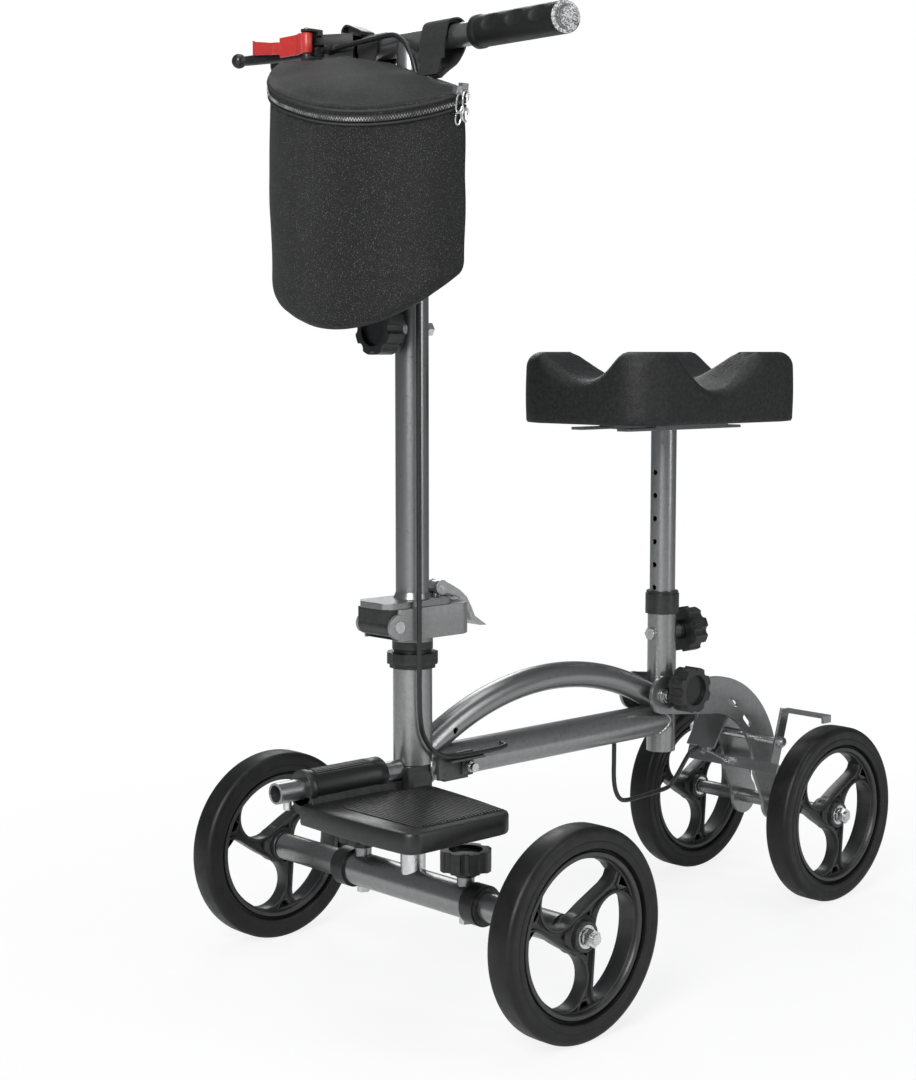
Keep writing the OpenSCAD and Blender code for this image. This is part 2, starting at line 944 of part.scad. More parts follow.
module seat_post() {
    holes = 8;
    color("#7b7d80")
        translate([0, seat_y, 0])
            difference() {
                bar_z(post_d / 2, 300, pad_z - 7);
                bar_z(post_d / 2 - 2, 299, pad_z - 6);
                for (i = [0:holes - 1])
                    translate([0, 0, 493 - i * hole_pitch])
                        bar_y(3, -20, 0, medium);
            }
}

module seat_plate() {
    color("#6b6d70")
        translate([0, seat_y, 0])
            difference() {
                union() {
                    for (side = [-1, 1])
                        block([side * 33 - 8, -104, pad_z - 7], [side * 33 + 8, 82, pad_z - 4]);
                    block([-41, -60, pad_z - 4], [41, 60, pad_z - gap]);
                    for (end = [-60, 40])
                        block([-30, end, pad_z - 7], [30, end + 20, pad_z - 4]);
                    pipe_z(19, 6, pad_z - 7, pad_z - 4);
                }
                for (sx = [-1, 1], sy = [-1, 1])
                    translate([sx * 33, sy * 50, 0])
                        bar_z(3.2, pad_z - 20, pad_z + 5, medium);
            }
}

// Knee pad: rounded block with a channel along it and a deeper one across it
module knee_pad() {
    half_w = pad_size.x / 2;
    half_l = pad_size.y / 2;
    mid_y = seat_y - 6;
    color("#3a3a3c")
        translate([0, mid_y, pad_z])
            difference() {
                linear_extrude(pad_size.z - 2)
                    polygon(rounded([[half_w, -half_l, 30], [half_w, half_l, 30],
                                     [-half_w, half_l, 30], [-half_w, -half_l, 30]]));
                translate([0, 0, 139])
                    bar_y(94, -200, 200, 96);
                translate([0, -9, 128])
                    bar_x(94, -200, 200, 96);
            }
}

module seat_knob() {
    color("#1b1b1d")
        translate([0, seat_y + 24 + gap + 6, seat_knob_z])
            rotate([-90, 0, 0])
                star_knob(9);
}

// ---- rear fork and brake ----

module sickle_outline() {
    end_r = 21;
    intersection() {
        difference() {
            translate([sickle_y, sickle_z])
                circle(r = sickle_out, $fn = 128);
            translate([sickle_y, sickle_z])
                circle(r = sickle_in, $fn = 128);
        }
        translate([sickle_y, sickle_z])
            square([200, 200]);
    }
    translate([pivot_y, pivot_z])
        circle(r = end_r, $fn = fine);
    polygon([[pivot_y - 2, pivot_z + end_r - 0.1], [pivot_y - 2, pivot_z - end_r + 0.1],
             [sickle_y + 0.5, sickle_z + sickle_in], [sickle_y + 0.5, sickle_z + sickle_out]]);
    translate([rear_y, axle_z])
        circle(r = end_r, $fn = fine);
    polygon([[sickle_y + sickle_in, sickle_z + 0.5], [rear_y - end_r, axle_z + 4],
             [rear_y + end_r, axle_z], [sickle_y + sickle_out, sickle_z + 0.5]]);
}

module fork_plate(side) {
    slot_mid = [[front_y + 467, 227, -24], [front_y + 493, 203, -46]];
    color("#6f7174")
        translate([side > 0 ? plate_in : -plate_in - plate_t, 0, 0])
            rotate([90, 0, 90])
                linear_extrude(plate_t)
                    difference() {
                        sickle_outline();
                        translate([pivot_y, pivot_z])
                            circle(r = screw_r + run, $fn = medium);
                        translate([seat_y, lock_z])
                            circle(r = screw_r + run, $fn = medium);
                        translate([brake_y, brake_z])
                            circle(r = screw_r + run, $fn = medium);
                        translate([rear_y, axle_z])
                            circle(r = 8, $fn = medium);
                        for (s = slot_mid)
                            translate([s[0], s[1]])
                                rotate(s[2]) {
                                    square([12, 7], center = true);
                                    for (end = [-6, 6])
                                        translate([end, 0])
                                            circle(r = 3.5, $fn = medium);
                                }
                    }
}

// Two cross plates welded between the sickle plates; the front one stops the cable
module fork_cross_plates() {
    inner = plate_in;
    color("#66686b") {
        translate([0, front_y + 466, 214])
            rotate([-34.8, 0, 0])
                block([-inner, -2.5, -45.5], [inner, 0, 0]);
        translate([0, front_y + 441, 173.9])
            rotate([-22.8, 0, 0])
                difference() {
                    bar_y(5, -4, 4, medium);
                    bar_y(1.4, -5, 5, medium);
                }
        block([-inner, front_y + 512, 149], [inner, front_y + 515, 186]);
    }
}

module rear_axle_tube() {
    end = rear_x - tyre_w / 2 - 1;
    color("#47484a")
        translate([0, rear_y, axle_z])
            pipe_x(8, bolt_r, -end, end);
}

module rear_axle_rod() {
    face = rear_x + tyre_w / 2;
    color("#d8dadc")
        translate([0, rear_y, axle_z]) {
            bar_x(bolt_r, -face - 11, face + 11, medium);
            for (side = [0, 180])
                rotate([0, 0, side]) {
                    pipe_x(8, bolt_r, face + 0.6, face + 1.8);
                    translate([face + 1.8, 0, 0])
                        rotate([0, 90, 0])
                            hex_nut(8.5, 7, bolt_r);
                    translate([rear_x, 0, 0])
                        wheel_bearings();
                }
        }
}

module rear_lock_knob() {
    color("#1b1b1d")
        translate([plate_in + plate_t + gap + 6, seat_y, lock_z])
            rotate([0, 90, 0])
                star_knob(3.8);
}

// Brake bracket: an arm with a foot over each tyre, joined by a flat bar
module brake_arms() {
    lean = 17;
    color("#707275")
        difference() {
            union() {
                for (side = [0, 1])
                    mirror([side, 0, 0]) {
                        translate([arm_x - 2, brake_y, brake_z])
                            rotate([-lean, 0, 0])
                                block([0, -7, -36], [3, 7, 38]);
                        block([arm_x - 2, brake_y + 5, 215.5], [118, brake_y + 19, 218.5]);
                        block([115, brake_y + 5, 210], [118, brake_y + 19, 218]);
                    }
                translate([0, brake_y, brake_z])
                    rotate([-lean, 0, 0])
                        block([-60, -7, -38], [71, -4, -26]);
            }
            translate([0, brake_y, brake_z])
                bar_x(screw_r, -200, 200, medium);
            translate([3, brake_y, brake_z])
                rotate([-lean, 0, 0])
                    translate([0, 0, -32])
                        bar_y(2.5, -20, 10, medium);
        }
}

// Rod that the brake bracket turns on, its nuts, and the wire's clamp screw
module brake_rod() {
    lean = 17;
    color("#bfc1c3")
        translate([0, brake_y, brake_z]) {
            bar_x(screw_r, -arm_x - 8, arm_x + 8, medium);
            for (side = [0, 180])
                rotate([0, 0, side])
                    translate([arm_x + 1, 0, 0])
                        rotate([0, 90, 0])
                            hex_nut(6.5, 5, screw_r);
            translate([3, 0, 0])
                rotate([-lean, 0, 0])
                    translate([0, 0, -32]) {
                        bar_y(2.5, -13, -2, medium);
                        difference() {
                            bar_y(5, -14, -7, 6);
                            bar_y(2.5, -15, -6, medium);
                        }
                    }
        }
}

// ---- brake cable ----

// Smooth curve through the points of a route
function spline_point(a, b, c, d, t) =
    0.5 * (2 * b + (c - a) * t + (2 * a - 5 * b + 4 * c - d) * t * t
           + (3 * b - a - 3 * c + d) * t * t * t);
function smooth(route, steps) = let (n = len(route))
    concat([for (i = [0:n - 2], k = [0:steps - 1])
                spline_point(route[max(i - 1, 0)], route[i], route[i + 1],
                             route[min(i + 2, n - 1)], k / steps)],
           [route[n - 1]]);

// Round tube along a route, as one polyhedron
module cable(route, r, steps) {
    path = smooth([for (p = route) [p.x, p.y + front_y, p.z]], steps);
    n = len(path);
    lead = [1, -1, 1];
    rings = [for (i = [0:n - 1])
        let (t = unit(path[min(i + 1, n - 1)] - path[max(i - 1, 0)]))
        let (u = unit(cross(t, lead)), v = cross(t, u))
        for (k = [0:cable_sides - 1])
            path[i] + r * (cos(k * 360 / cable_sides) * u + sin(k * 360 / cable_sides) * v)];
    sides = [for (i = [0:n - 2], k = [0:cable_sides - 1])
        let (a = i * cable_sides + k, b = i * cable_sides + (k + 1) % cable_sides)
        [a, b, b + cable_sides, a + cable_sides]];
    ends = [[for (k = [cable_sides - 1:-1:0]) k],
            [for (k = [0:cable_sides - 1]) (n - 1) * cable_sides + k]];
    polyhedron(points = rings, faces = concat(sides, ends));
}

module brake_cable_front() {
    color("#151515")
        cable(front_route, cable_r, 2);
}

module brake_cable_rear() {
    color("#151515") {
        cable(rear_route, cable_r, 2);
        cable(wire_route, wire_r, 1);
    }
}

// ---- placing ----

head_tube();
headset_cups();
main_tube();
arch_tube();
seat_tube();
head_bracket();
seat_collar();
pivot_bolt();
frame_fasteners();
steerer();
stem_block();
front_axle_tube();
axle_collars();
steering_fasteners();
lower_hinge();
pedal_tube();
foot_rest();
axle_knob(1);  // axle_knob_left
axle_knob(-1);  // axle_knob_right
front_stub(1);  // front_stub_left
front_stub(-1);  // front_stub_right
front_bolt(1);  // front_bolt_left
front_bolt(-1);  // front_bolt_right
at_front_wheel(1) tyre();  // front_tyre_left
at_front_wheel(1) hub();  // front_hub_left
at_front_wheel(-1) tyre();  // front_tyre_right
at_front_wheel(-1) hub();  // front_hub_right
at_rear_wheel(1) tyre();  // rear_tyre_left
at_rear_wheel(1) hub();  // rear_hub_left
at_rear_wheel(-1) tyre();  // rear_tyre_right
at_rear_wheel(-1) hub();  // rear_hub_right
column_tube();
hinge_barrel();
column_collar();
column_fasteners();
cam_lever();
column_knob();
handlebar_post();
handlebar();
grip(1);  // grip_left
grip(-1);  // grip_right
brake_perch();
brake_lever();
parking_latch();
bag();
bag_straps();
seat_post();
seat_plate();
knee_pad();
seat_knob();
fork_plate(1);  // fork_plate_left
fork_plate(-1);  // fork_plate_right
fork_cross_plates();
rear_axle_tube();
rear_axle_rod();
rear_lock_knob();
brake_arms();
brake_rod();
brake_cable_front();
brake_cable_rear();
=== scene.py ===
import math

import bpy
from mathutils import Matrix, Vector, noise
from mathutils.geometry import tessellate_polygon


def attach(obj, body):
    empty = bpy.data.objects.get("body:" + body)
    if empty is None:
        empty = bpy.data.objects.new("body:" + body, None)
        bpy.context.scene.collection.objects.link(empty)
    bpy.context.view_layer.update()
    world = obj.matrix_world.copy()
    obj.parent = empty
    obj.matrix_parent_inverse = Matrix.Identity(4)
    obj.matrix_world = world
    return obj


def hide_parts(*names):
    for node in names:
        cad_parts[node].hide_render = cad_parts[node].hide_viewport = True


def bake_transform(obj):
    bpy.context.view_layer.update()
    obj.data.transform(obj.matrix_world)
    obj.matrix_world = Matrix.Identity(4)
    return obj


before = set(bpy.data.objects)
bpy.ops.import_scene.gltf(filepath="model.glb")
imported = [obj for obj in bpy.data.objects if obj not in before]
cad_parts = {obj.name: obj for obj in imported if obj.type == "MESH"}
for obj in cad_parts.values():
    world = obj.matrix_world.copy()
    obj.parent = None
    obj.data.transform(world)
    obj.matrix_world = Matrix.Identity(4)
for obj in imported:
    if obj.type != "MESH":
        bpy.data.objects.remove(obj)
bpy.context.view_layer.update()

MM = 0.001
FRONT_Y = -238.0        # the front axle, in mm
SEAT_Y = 370.0          # the seat post, behind the front axle
WHEEL_R = 100.0
BAR_Z = 915.0           # the handlebar's axis


def pt(x, ry, z):
    """Point given in mm, with y counted from the front axle."""
    return Vector((x * MM, (ry + FRONT_Y) * MM, z * MM))


# ---------------------------------------------------------------- materials

class Nodes:
    """Short hand for building one material's node tree."""

    def __init__(self, name, coat=0.0, coat_rough=0.2, shine=0.5):
        self.mat = bpy.data.materials.new(name)
        self.mat.use_nodes = True
        self.tree = self.mat.node_tree
        self.shader = self.tree.nodes["Principled BSDF"]
        self.shader.inputs["Coat Weight"].default_value = coat
        self.shader.inputs["Coat Roughness"].default_value = coat_rough
        self.shader.inputs["Specular IOR Level"].default_value = shine
        coords = self.tree.nodes.new("ShaderNodeTexCoord")
        self.place = coords.outputs["Object"]

    def node(self, kind, **values):
        made = self.tree.nodes.new(kind)
        for key, value in values.items():
            setattr(made, key, value)
        return made

    def link(self, a, b):
        self.tree.links.new(a, b)

    def noise(self, scale, detail=3.0, rough=0.55, stretch=(1, 1, 1)):
        mapping = self.node("ShaderNodeMapping")
        mapping.inputs["Scale"].default_value = stretch
        self.link(self.place, mapping.inputs["Vector"])
        tex = self.node("ShaderNodeTexNoise")
        tex.inputs["Scale"].default_value = scale
        tex.inputs["Detail"].default_value = detail
        tex.inputs["Roughness"].default_value = rough
        self.link(mapping.outputs["Vector"], tex.inputs["Vector"])
        return tex.outputs["Fac"]

    def ramp(self, fac, low, high, a, b):
        """Colour ramp from a at low to b at high."""
        made = self.node("ShaderNodeValToRGB")
        made.color_ramp.elements[0].position = low
        made.color_ramp.elements[1].position = high
        made.color_ramp.elements[0].color = (*a, 1)
        made.color_ramp.elements[1].color = (*b, 1)
        self.link(fac, made.inputs["Fac"])
        return made.outputs["Color"]

    def span(self, fac, a, b, low=0.3, high=0.7):
        made = self.node("ShaderNodeMapRange")
        made.inputs["From Min"].default_value = low
        made.inputs["From Max"].default_value = high
        made.inputs["To Min"].default_value = a
        made.inputs["To Max"].default_value = b
        self.link(fac, made.inputs["Value"])
        return made.outputs["Result"]

    def math(self, op, a, b=None):
        made = self.node("ShaderNodeMath", operation=op)
        for i, value in enumerate((a, b)):
            if value is None:
                continue
            if isinstance(value, (int, float)):
                made.inputs[i].default_value = value
            else:
                self.link(value, made.inputs[i])
        return made.outputs[0]

    def mix(self, fac, a, b):
        made = self.node("ShaderNodeMix", data_type="RGBA")
        self.link(fac, made.inputs["Factor"])
        for socket, value in ((made.inputs[6], a), (made.inputs[7], b)):
            if isinstance(value, tuple):
                socket.default_value = (*value, 1)
            else:
                self.link(value, socket)
        return made.outputs[2]

    def relief(self, height, strength, distance, soft_edge=0.0):
        """Bump from a height, over edges rounded by soft_edge metres."""
        bump = self.node("ShaderNodeBump")
        bump.inputs["Strength"].default_value = strength
        bump.inputs["Distance"].default_value = distance
        self.link(height, bump.inputs["Height"])
        if soft_edge:
            edge = self.node("ShaderNodeBevel", samples=4)
            edge.inputs["Radius"].default_value = soft_edge
            self.link(edge.outputs["Normal"], bump.inputs["Normal"])
        self.link(bump.outputs["Normal"], self.shader.inputs["Normal"])

    def worn_edges(self, base, worn, low=0.53, high=0.6):
        """Base colour that turns towards worn where the surface is sharply convex."""
        geometry = self.node("ShaderNodeNewGeometry")
        fac = self.span(geometry.outputs["Pointiness"], 0.0, 0.6, low, high)
        patchy = self.math("MULTIPLY", fac, self.span(self.noise(180), 0.2, 1.0))
        return self.mix(patchy, base, worn)


def plain(name, a, b, rough, metal=0.0, grain=350.0, relief=0.15, depth=0.0002,
          edge=0.0006, worn=None, coat=0.0):
    """Surface with a mottled colour from a to b, uneven roughness and a fine grain."""
    m = Nodes(name, coat)
    colour = m.ramp(m.noise(grain * 0.3), 0.3, 0.7, a, b)
    if worn:
        colour = m.worn_edges(colour, worn)
    m.link(colour, m.shader.inputs["Base Color"])
    m.shader.inputs["Metallic"].default_value = metal
    m.link(m.span(m.noise(grain * 0.12, 4), rough[0], rough[1]), m.shader.inputs["Roughness"])
    m.relief(m.noise(grain, 2), relief, depth, edge)
    return m.mat


def grey(v, warm=0.0):
    return (v + warm, v, v - warm)


GUNMETAL = plain("gunmetal_paint", grey(0.25), grey(0.28), (0.27, 0.33), 0.9, 2600, 0.05, 0.00004,
                 0.0008, grey(0.36), 0.2)
DARK_PAINT = plain("dark_bracket_paint", grey(0.045), grey(0.06), (0.32, 0.45), 0.5, 2000, 0.1,
                   0.00008, 0.0006, grey(0.16))
ZINC = plain("bright_zinc", grey(0.6), grey(0.72), (0.2, 0.32), 1.0, 900, 0.06, 0.00005, 0.0005)
STEEL = plain("fastener_steel", grey(0.55), grey(0.7), (0.2, 0.34), 1.0, 700, 0.1, 0.00005, 0.0004)
CAST = plain("cast_alloy", grey(0.24), grey(0.29), (0.42, 0.56), 0.7, 1300, 0.25, 0.00012, 0.001,
             grey(0.4))
LEVER = plain("lever_alloy", grey(0.33), grey(0.42), (0.3, 0.42), 0.9, 1100, 0.15, 0.00008, 0.0008,
              grey(0.6))
PLASTIC = plain("black_plastic", grey(0.006), grey(0.01), (0.3, 0.42), 0.0, 1800, 0.18, 0.0001,
                0.0009, grey(0.04))
HUB = plain("hub_plastic", grey(0.012), grey(0.018), (0.3, 0.42), 0.0, 1500, 0.15, 0.0001, 0.0008,
            grey(0.08))
SATIN_BLACK = plain("black_metal", grey(0.02), grey(0.03), (0.26, 0.36), 0.4, 1500, 0.08, 0.00006,
                    0.0006, grey(0.15))
CABLE = plain("cable_jacket", grey(0.012), grey(0.018), (0.28, 0.38), 0.0, 900, 0.05, 0.00005, 0.0)
RED = plain("red_plastic", (0.42, 0.025, 0.022), (0.52, 0.035, 0.03), (0.28, 0.4), 0.0, 1200, 0.08,
            0.00006, 0.0006, (0.62, 0.12, 0.1), 0.2)
ZIP_METAL = plain("zip_metal", grey(0.5), grey(0.7), (0.22, 0.34), 1.0, 900, 0.1, 0.00005, 0.0003)
TEETH = plain("zip_teeth", grey(0.05), grey(0.5), (0.3, 0.5), 0.3, 500, 0.1, 0.00005, 0.0)
BELT = plain("webbing", grey(0.012), grey(0.022), (0.6, 0.75), 0.0, 1200, 0.5, 0.0004, 0.0003)


def tyre_material():
    m = Nodes("tyre_rubber", shine=0.3)
    dust = m.ramp(m.noise(60, 5), 0.35, 0.8, grey(0.006), grey(0.012, 0.0005))
    m.link(dust, m.shader.inputs["Base Color"])
    m.link(m.span(m.noise(90, 4), 0.36, 0.52), m.shader.inputs["Roughness"])
    m.relief(m.noise(1400, 3), 0.12, 0.0001, 0.001)
    return m.mat


def grip_material():
    m = Nodes("grip_rubber", shine=0.4)
    m.link(m.ramp(m.noise(500), 0.3, 0.7, grey(0.006), grey(0.011)), m.shader.inputs["Base Color"])
    m.link(m.span(m.noise(120, 4), 0.38, 0.52), m.shader.inputs["Roughness"])
    m.relief(m.noise(2200, 3), 0.3, 0.00015)
    return m.mat


def foam_end_material():
    m = Nodes("grip_end_foam")
    speck = m.node("ShaderNodeTexVoronoi")
    speck.inputs["Scale"].default_value = 900
    m.link(m.place, speck.inputs["Vector"])
    colour = m.ramp(speck.outputs["Color"], 0.25, 0.75, grey(0.12), grey(0.62))
    m.link(colour, m.shader.inputs["Base Color"])
    m.shader.inputs["Roughness"].default_value = 0.9
    m.relief(speck.outputs["Distance"], 0.7, 0.0005)
    return m.mat


def vinyl_material():
    m = Nodes("pad_vinyl", shine=0.3)
    cells = m.node("ShaderNodeTexVoronoi")
    cells.inputs["Scale"].default_value = 620
    m.link(m.place, cells.inputs["Vector"])
    grain = m.math("ADD", cells.outputs["Distance"], m.math("MULTIPLY", m.noise(1500, 3), 0.5))
    m.link(m.ramp(m.noise(260, 4), 0.3, 0.75, grey(0.006), grey(0.022)),
           m.shader.inputs["Base Color"])
    m.link(m.span(grain, 0.36, 0.55, 0.2, 0.9), m.shader.inputs["Roughness"])
    m.relief(grain, 0.55, 0.0006)
    return m.mat


def weave_material():
    """Oxford weave: two crossed sets of threads, a little uneven."""
    m = Nodes("bag_weave", shine=0.22)
    split = m.node("ShaderNodeSeparateXYZ")
    warp = m.node("ShaderNodeVectorMath", operation="ADD")
    wobble = m.node("ShaderNodeTexNoise")
    wobble.inputs["Scale"].default_value = 70
    m.link(m.place, wobble.inputs["Vector"])
    small = m.node("ShaderNodeVectorMath", operation="SCALE")
    small.inputs["Scale"].default_value = 0.0012
    m.link(wobble.outputs["Color"], small.inputs[0])
    m.link(m.place, warp.inputs[0])
    m.link(small.outputs[0], warp.inputs[1])
    m.link(warp.outputs[0], split.inputs[0])
    along = m.math("ADD", split.outputs["X"], m.math("MULTIPLY", split.outputs["Y"], 0.8))
    pitch = 2 * math.pi / 0.0019
    a = m.math("SINE", m.math("MULTIPLY", m.math("ADD", along, split.outputs["Z"]), pitch))
    b = m.math("SINE", m.math("MULTIPLY", m.math("SUBTRACT", along, split.outputs["Z"]), pitch))
    thread = m.math("MULTIPLY", a, b)
    height = m.math("ADD", thread, m.math("MULTIPLY", m.noise(2500, 2), 0.8))
    # colour follows the weave's height, darker where it is low: painted shade between the threads,
    # with random tone from the noise
    colour = m.ramp(m.span(height, 0, 1, -1.0, 1.6), 0.15, 0.95, grey(0.002), grey(0.02))
    # light grey flecks mixed into the weave's colour: painted glints on its threads
    painted_glint_fleck = m.span(m.noise(1100, 1), 0.0, 1.0, 0.6, 0.72)
    m.link(m.mix(painted_glint_fleck, colour, grey(0.11)), m.shader.inputs["Base Color"])
    m.shader.inputs["Roughness"].default_value = 0.5
    m.shader.inputs["Sheen Weight"].default_value = 0.04
    m.shader.inputs["Sheen Roughness"].default_value = 0.5
    m.relief(height, 0.55, 0.0005)
    return m.mat


TYRE = tyre_material()
GRIP = grip_material()
FOAM_END = foam_end_material()
VINYL = vinyl_material()
WEAVE = weave_material()

# ---------------------------------------------------------------- geometry helpers


class Shape:
    """Vertices and faces of one piece, gathered from simple parts. Numbers in metres."""

    def __init__(self):
        self.verts = []
        self.faces = []
        self.slots = []

    def add(self, verts, faces, slot=0):
        start = len(self.verts)
        self.verts += [Vector(v) for v in verts]
        self.faces += [[i + start for i in face] for face in faces]
        self.slots += [slot] * len(faces)
        return self

    def grid(self, rows, closed_u=True, cap=True, slot=0):
        """Skin over rows of points; each row is a ring if closed_u."""
        n = len(rows[0])
        faces = []
        span = n if closed_u else n - 1
        for r in range(len(rows) - 1):
            for c in range(span):
                d = (c + 1) % n
                faces.append([r * n + c, r * n + d, (r + 1) * n + d, (r + 1) * n + c])
        if cap and closed_u:
            faces.append(list(range(n))[::-1])
            faces.append([(len(rows) - 1) * n + c for c in range(n)])
        return self.add([p for row in rows for p in row], faces, slot)

    def box(self, low, high, turn=None, at=None, slot=0):
        low, high = Vector(low), Vector(high)
        pts = [Vector((x, y, z)) for x in (low.x, high.x) for y in (low.y, high.y)
               for z in (low.z, high.z)]
        if turn is not None:
            pts = [turn @ p for p in pts]
        if at is not None:
            pts = [p + at for p in pts]
        faces = [[0, 1, 3, 2], [4, 6, 7, 5], [0, 4, 5, 1], [2, 3, 7, 6], [0, 2, 6, 4], [1, 5, 7, 3]]
        return self.add(pts, faces, slot)

    def turned(self, profile, centre, axis="X", n=64, slot=0):
        """Solid of revolution. profile: (along, radius) in mm, a closed loop or an open line."""
        rows = []
        for i in range(n):
            a = 2 * math.pi * i / n
            row = []
            for along, radius in profile:
                if axis == "X":
                    p = Vector((along, radius * math.cos(a), radius * math.sin(a)))
                elif axis == "Y":
                    p = Vector((radius * math.sin(a), along, radius * math.cos(a)))
                else:
                    p = Vector((radius * math.cos(a), radius * math.sin(a), along))
                row.append(p * MM + centre)
            rows.append(row)
        m = len(profile)
        faces = []
        for i in range(n):
            j = (i + 1) % n
            for k in range(m - 1):
                faces.append([i * m + k, j * m + k, j * m + k + 1, i * m + k + 1])
        return self.add([p for row in rows for p in row], faces, slot)

    def swept(self, path, radius, sides=14, slot=0):
        """Round tube along a list of points, closed at both ends."""
        rows = []
        up = Vector((0.3, 0.2, 0.9)).normalized()
        for i, p in enumerate(path):
            t = (path[min(i + 1, len(path) - 1)] - path[max(i - 1, 0)]).normalized()
            side = up - t * up.dot(t)
            side.normalize()
            up = side
            other = t.cross(side)
            rows.append([p + (side * math.cos(a) + other * math.sin(a)) * radius
                         for a in (2 * math.pi * k / sides for k in range(sides))])
        return self.grid(rows, slot=slot)

    def make(self, name, mats, body=None, slot=None, nodes=(), sharp=32, bevel=0.0, weld=True):
        mesh = bpy.data.meshes.new(name)
        mesh.from_pydata([tuple(v) for v in self.verts], [], self.faces)
        for m in mats if isinstance(mats, (list, tuple)) else [mats]:
            mesh.materials.append(m)
        for face, index in zip(mesh.polygons, self.slots):
            face.material_index = index
            face.use_smooth = True
        tidy_mesh(mesh, weld)
        mesh.set_sharp_from_angle(angle=math.radians(sharp))
        obj = bpy.data.objects.new(name, mesh)
        bpy.context.collection.objects.link(obj)
        if bevel:
            mod = obj.modifiers.new("edges", "BEVEL")
            mod.width = bevel
            mod.segments = 3
            mod.limit_method = "ANGLE"
            mod.angle_limit = math.radians(40)
            bake(obj)
            obj.data.set_sharp_from_angle(angle=math.radians(50))
        return settle(obj, body, nodes)


def tidy_mesh(mesh, weld):
    """Merges doubled points and turns the faces outwards."""
    import bmesh
    work = bmesh.new()
    work.from_mesh(mesh)
    if weld:
        bmesh.ops.remove_doubles(work, verts=work.verts, dist=1e-6)
    bmesh.ops.recalc_face_normals(work, faces=work.faces)
    work.to_mesh(mesh)
    work.free()
    mesh.update()


def bake(obj):
    """Replaces a mesh by its modified self."""
    bpy.context.view_layer.update()
    graph = bpy.context.evaluated_depsgraph_get()
    mesh = bpy.data.meshes.new_from_object(obj.evaluated_get(graph))
    obj.modifiers.clear()
    obj.data = mesh


def settle(obj, body, nodes):
    if nodes:
        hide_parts(*nodes)
    if body:
        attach(obj, body)
    return obj


def arc(cx, cy, r, a0, a1, n=8):
    """Points of a circle's arc from a0 to a1 degrees."""
    return [(cx + r * math.cos(math.radians(a0 + (a1 - a0) * i / n)),
             cy + r * math.sin(math.radians(a0 + (a1 - a0) * i / n))) for i in range(n + 1)]


def moved_in(loop, d):
    """Closed outline moved towards its left side by d mm."""
    out = []
    for i, (x, y) in enumerate(loop):
        before, after = loop[i - 1], loop[(i + 1) % len(loop)]
        u = Vector((x - before[0], y - before[1])).normalized()
        v = Vector((after[0] - x, after[1] - y)).normalized()
        left = Vector((-u.y - v.y, u.x + v.x))
        step = min(2 * d / max(left.length_squared, 1e-6), 2.5 * d / max(left.length, 1e-6))
        out.append((x + left.x * step, y + left.y * step))
    return out


def add_prism(shape, outline, half, bevel, matrix, holes=()):
    """Outline in mm, 2 * half thick along Z, with rounded edges and with holes through it."""
    loops = []
    for i, loop in enumerate([outline, *holes]):
        loop = [q for q, after in zip(loop, loop[1:] + loop[:1]) if math.dist(q, after) > 0.02]
        area = sum(q[0] * r[1] - r[0] * q[1] for q, r in zip(loop, loop[1:] + loop[:1]))
        loops.append(loop if (area > 0) == (i == 0) else loop[::-1])
    steps = [(bevel, -half), (0.3 * bevel, -half + 0.3 * bevel), (0, -half + bevel),
             (0, half - bevel), (0.3 * bevel, half - 0.3 * bevel), (bevel, half)]
    verts, faces, low, top = [], [], [], []
    for loop in loops:
        n, start = len(loop), len(verts)
        for inset, z in steps:
            verts += [Vector((x, y, z)) * MM for x, y in moved_in(loop, inset)]
        for r in range(start, start + (len(steps) - 1) * n, n):
            faces += [[r + k, r + (k + 1) % n, r + n + (k + 1) % n, r + n + k] for k in range(n)]
        low += range(start, start + n)
        top += range(start + (len(steps) - 1) * n, start + len(steps) * n)
    flat = [[Vector((x, y, 0)) for x, y in moved_in(loop, bevel)] for loop in loops]
    for tri in tessellate_polygon(flat):
        faces.append([top[k] for k in tri])
        faces.append([low[k] for k in tri[::-1]])
    return shape.add([matrix @ v for v in verts], faces)


def spline(points, steps=6):
    """Smooth curve through points."""
    out = []
    for i in range(len(points) - 1):
        a, b = points[max(i - 1, 0)], points[i]
        c, d = points[i + 1], points[min(i + 2, len(points) - 1)]
        for k in range(steps):
            t = k / steps
            out.append(0.5 * (2 * b + (c - a) * t + (2 * a - 5 * b + 4 * c - d) * t * t
                              + (3 * b - a - 3 * c + d) * t * t * t))
    return out + [points[-1]]


# ---------------------------------------------------------------- CAD nodes that show

SHOWN = {
    GUNMETAL: ["head_tube", "main_tube", "arch_tube", "seat_tube", "front_axle_tube",
               "front_stub_left", "front_stub_right", "column_tube", "handlebar_post", "handlebar",
               "seat_post", "seat_plate", "fork_plate_left", "fork_plate_right",
               "fork_cross_plates", "rear_axle_tube", "brake_arms", "pedal_tube"],
    DARK_PAINT: ["head_bracket"],
    PLASTIC: ["stem_block", "headset_cups", "seat_collar", "axle_collars", "hinge_barrel",
              "column_collar", "axle_knob_left", "axle_knob_right", "column_knob", "seat_knob",
              "rear_lock_knob"],
    ZINC: ["steerer"],
    STEEL: ["pivot_bolt", "frame_fasteners", "steering_fasteners", "front_bolt_left",
            "front_bolt_right", "column_fasteners", "rear_axle_rod", "brake_rod"],
    CAST: ["lower_hinge"],
    LEVER: ["cam_lever"],
}
for material, names in SHOWN.items():
    for name in names:
        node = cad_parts[name]
        for slot in node.material_slots:
            slot.link = "OBJECT"
            slot.material = material

# ---------------------------------------------------------------- wheels

TO_SIDE = Matrix(((0, 0, 1, 0), (1, 0, 0, 0), (0, 1, 0, 0), (0, 0, 0, 1)))


def comma(g):
    """Outline of one of a hub's comma-shaped openings, grown by g mm."""
    return (arc(44.5, 4, 26 + g, 0, 180, 20)
            + [(18 - g, -20), (15.5 - g, -52), (16.5 - g, -60), (20 - g * 0.7, -65 - g * 0.7)]
            + arc(0, 0, 70 + g, -64, -4, 20))


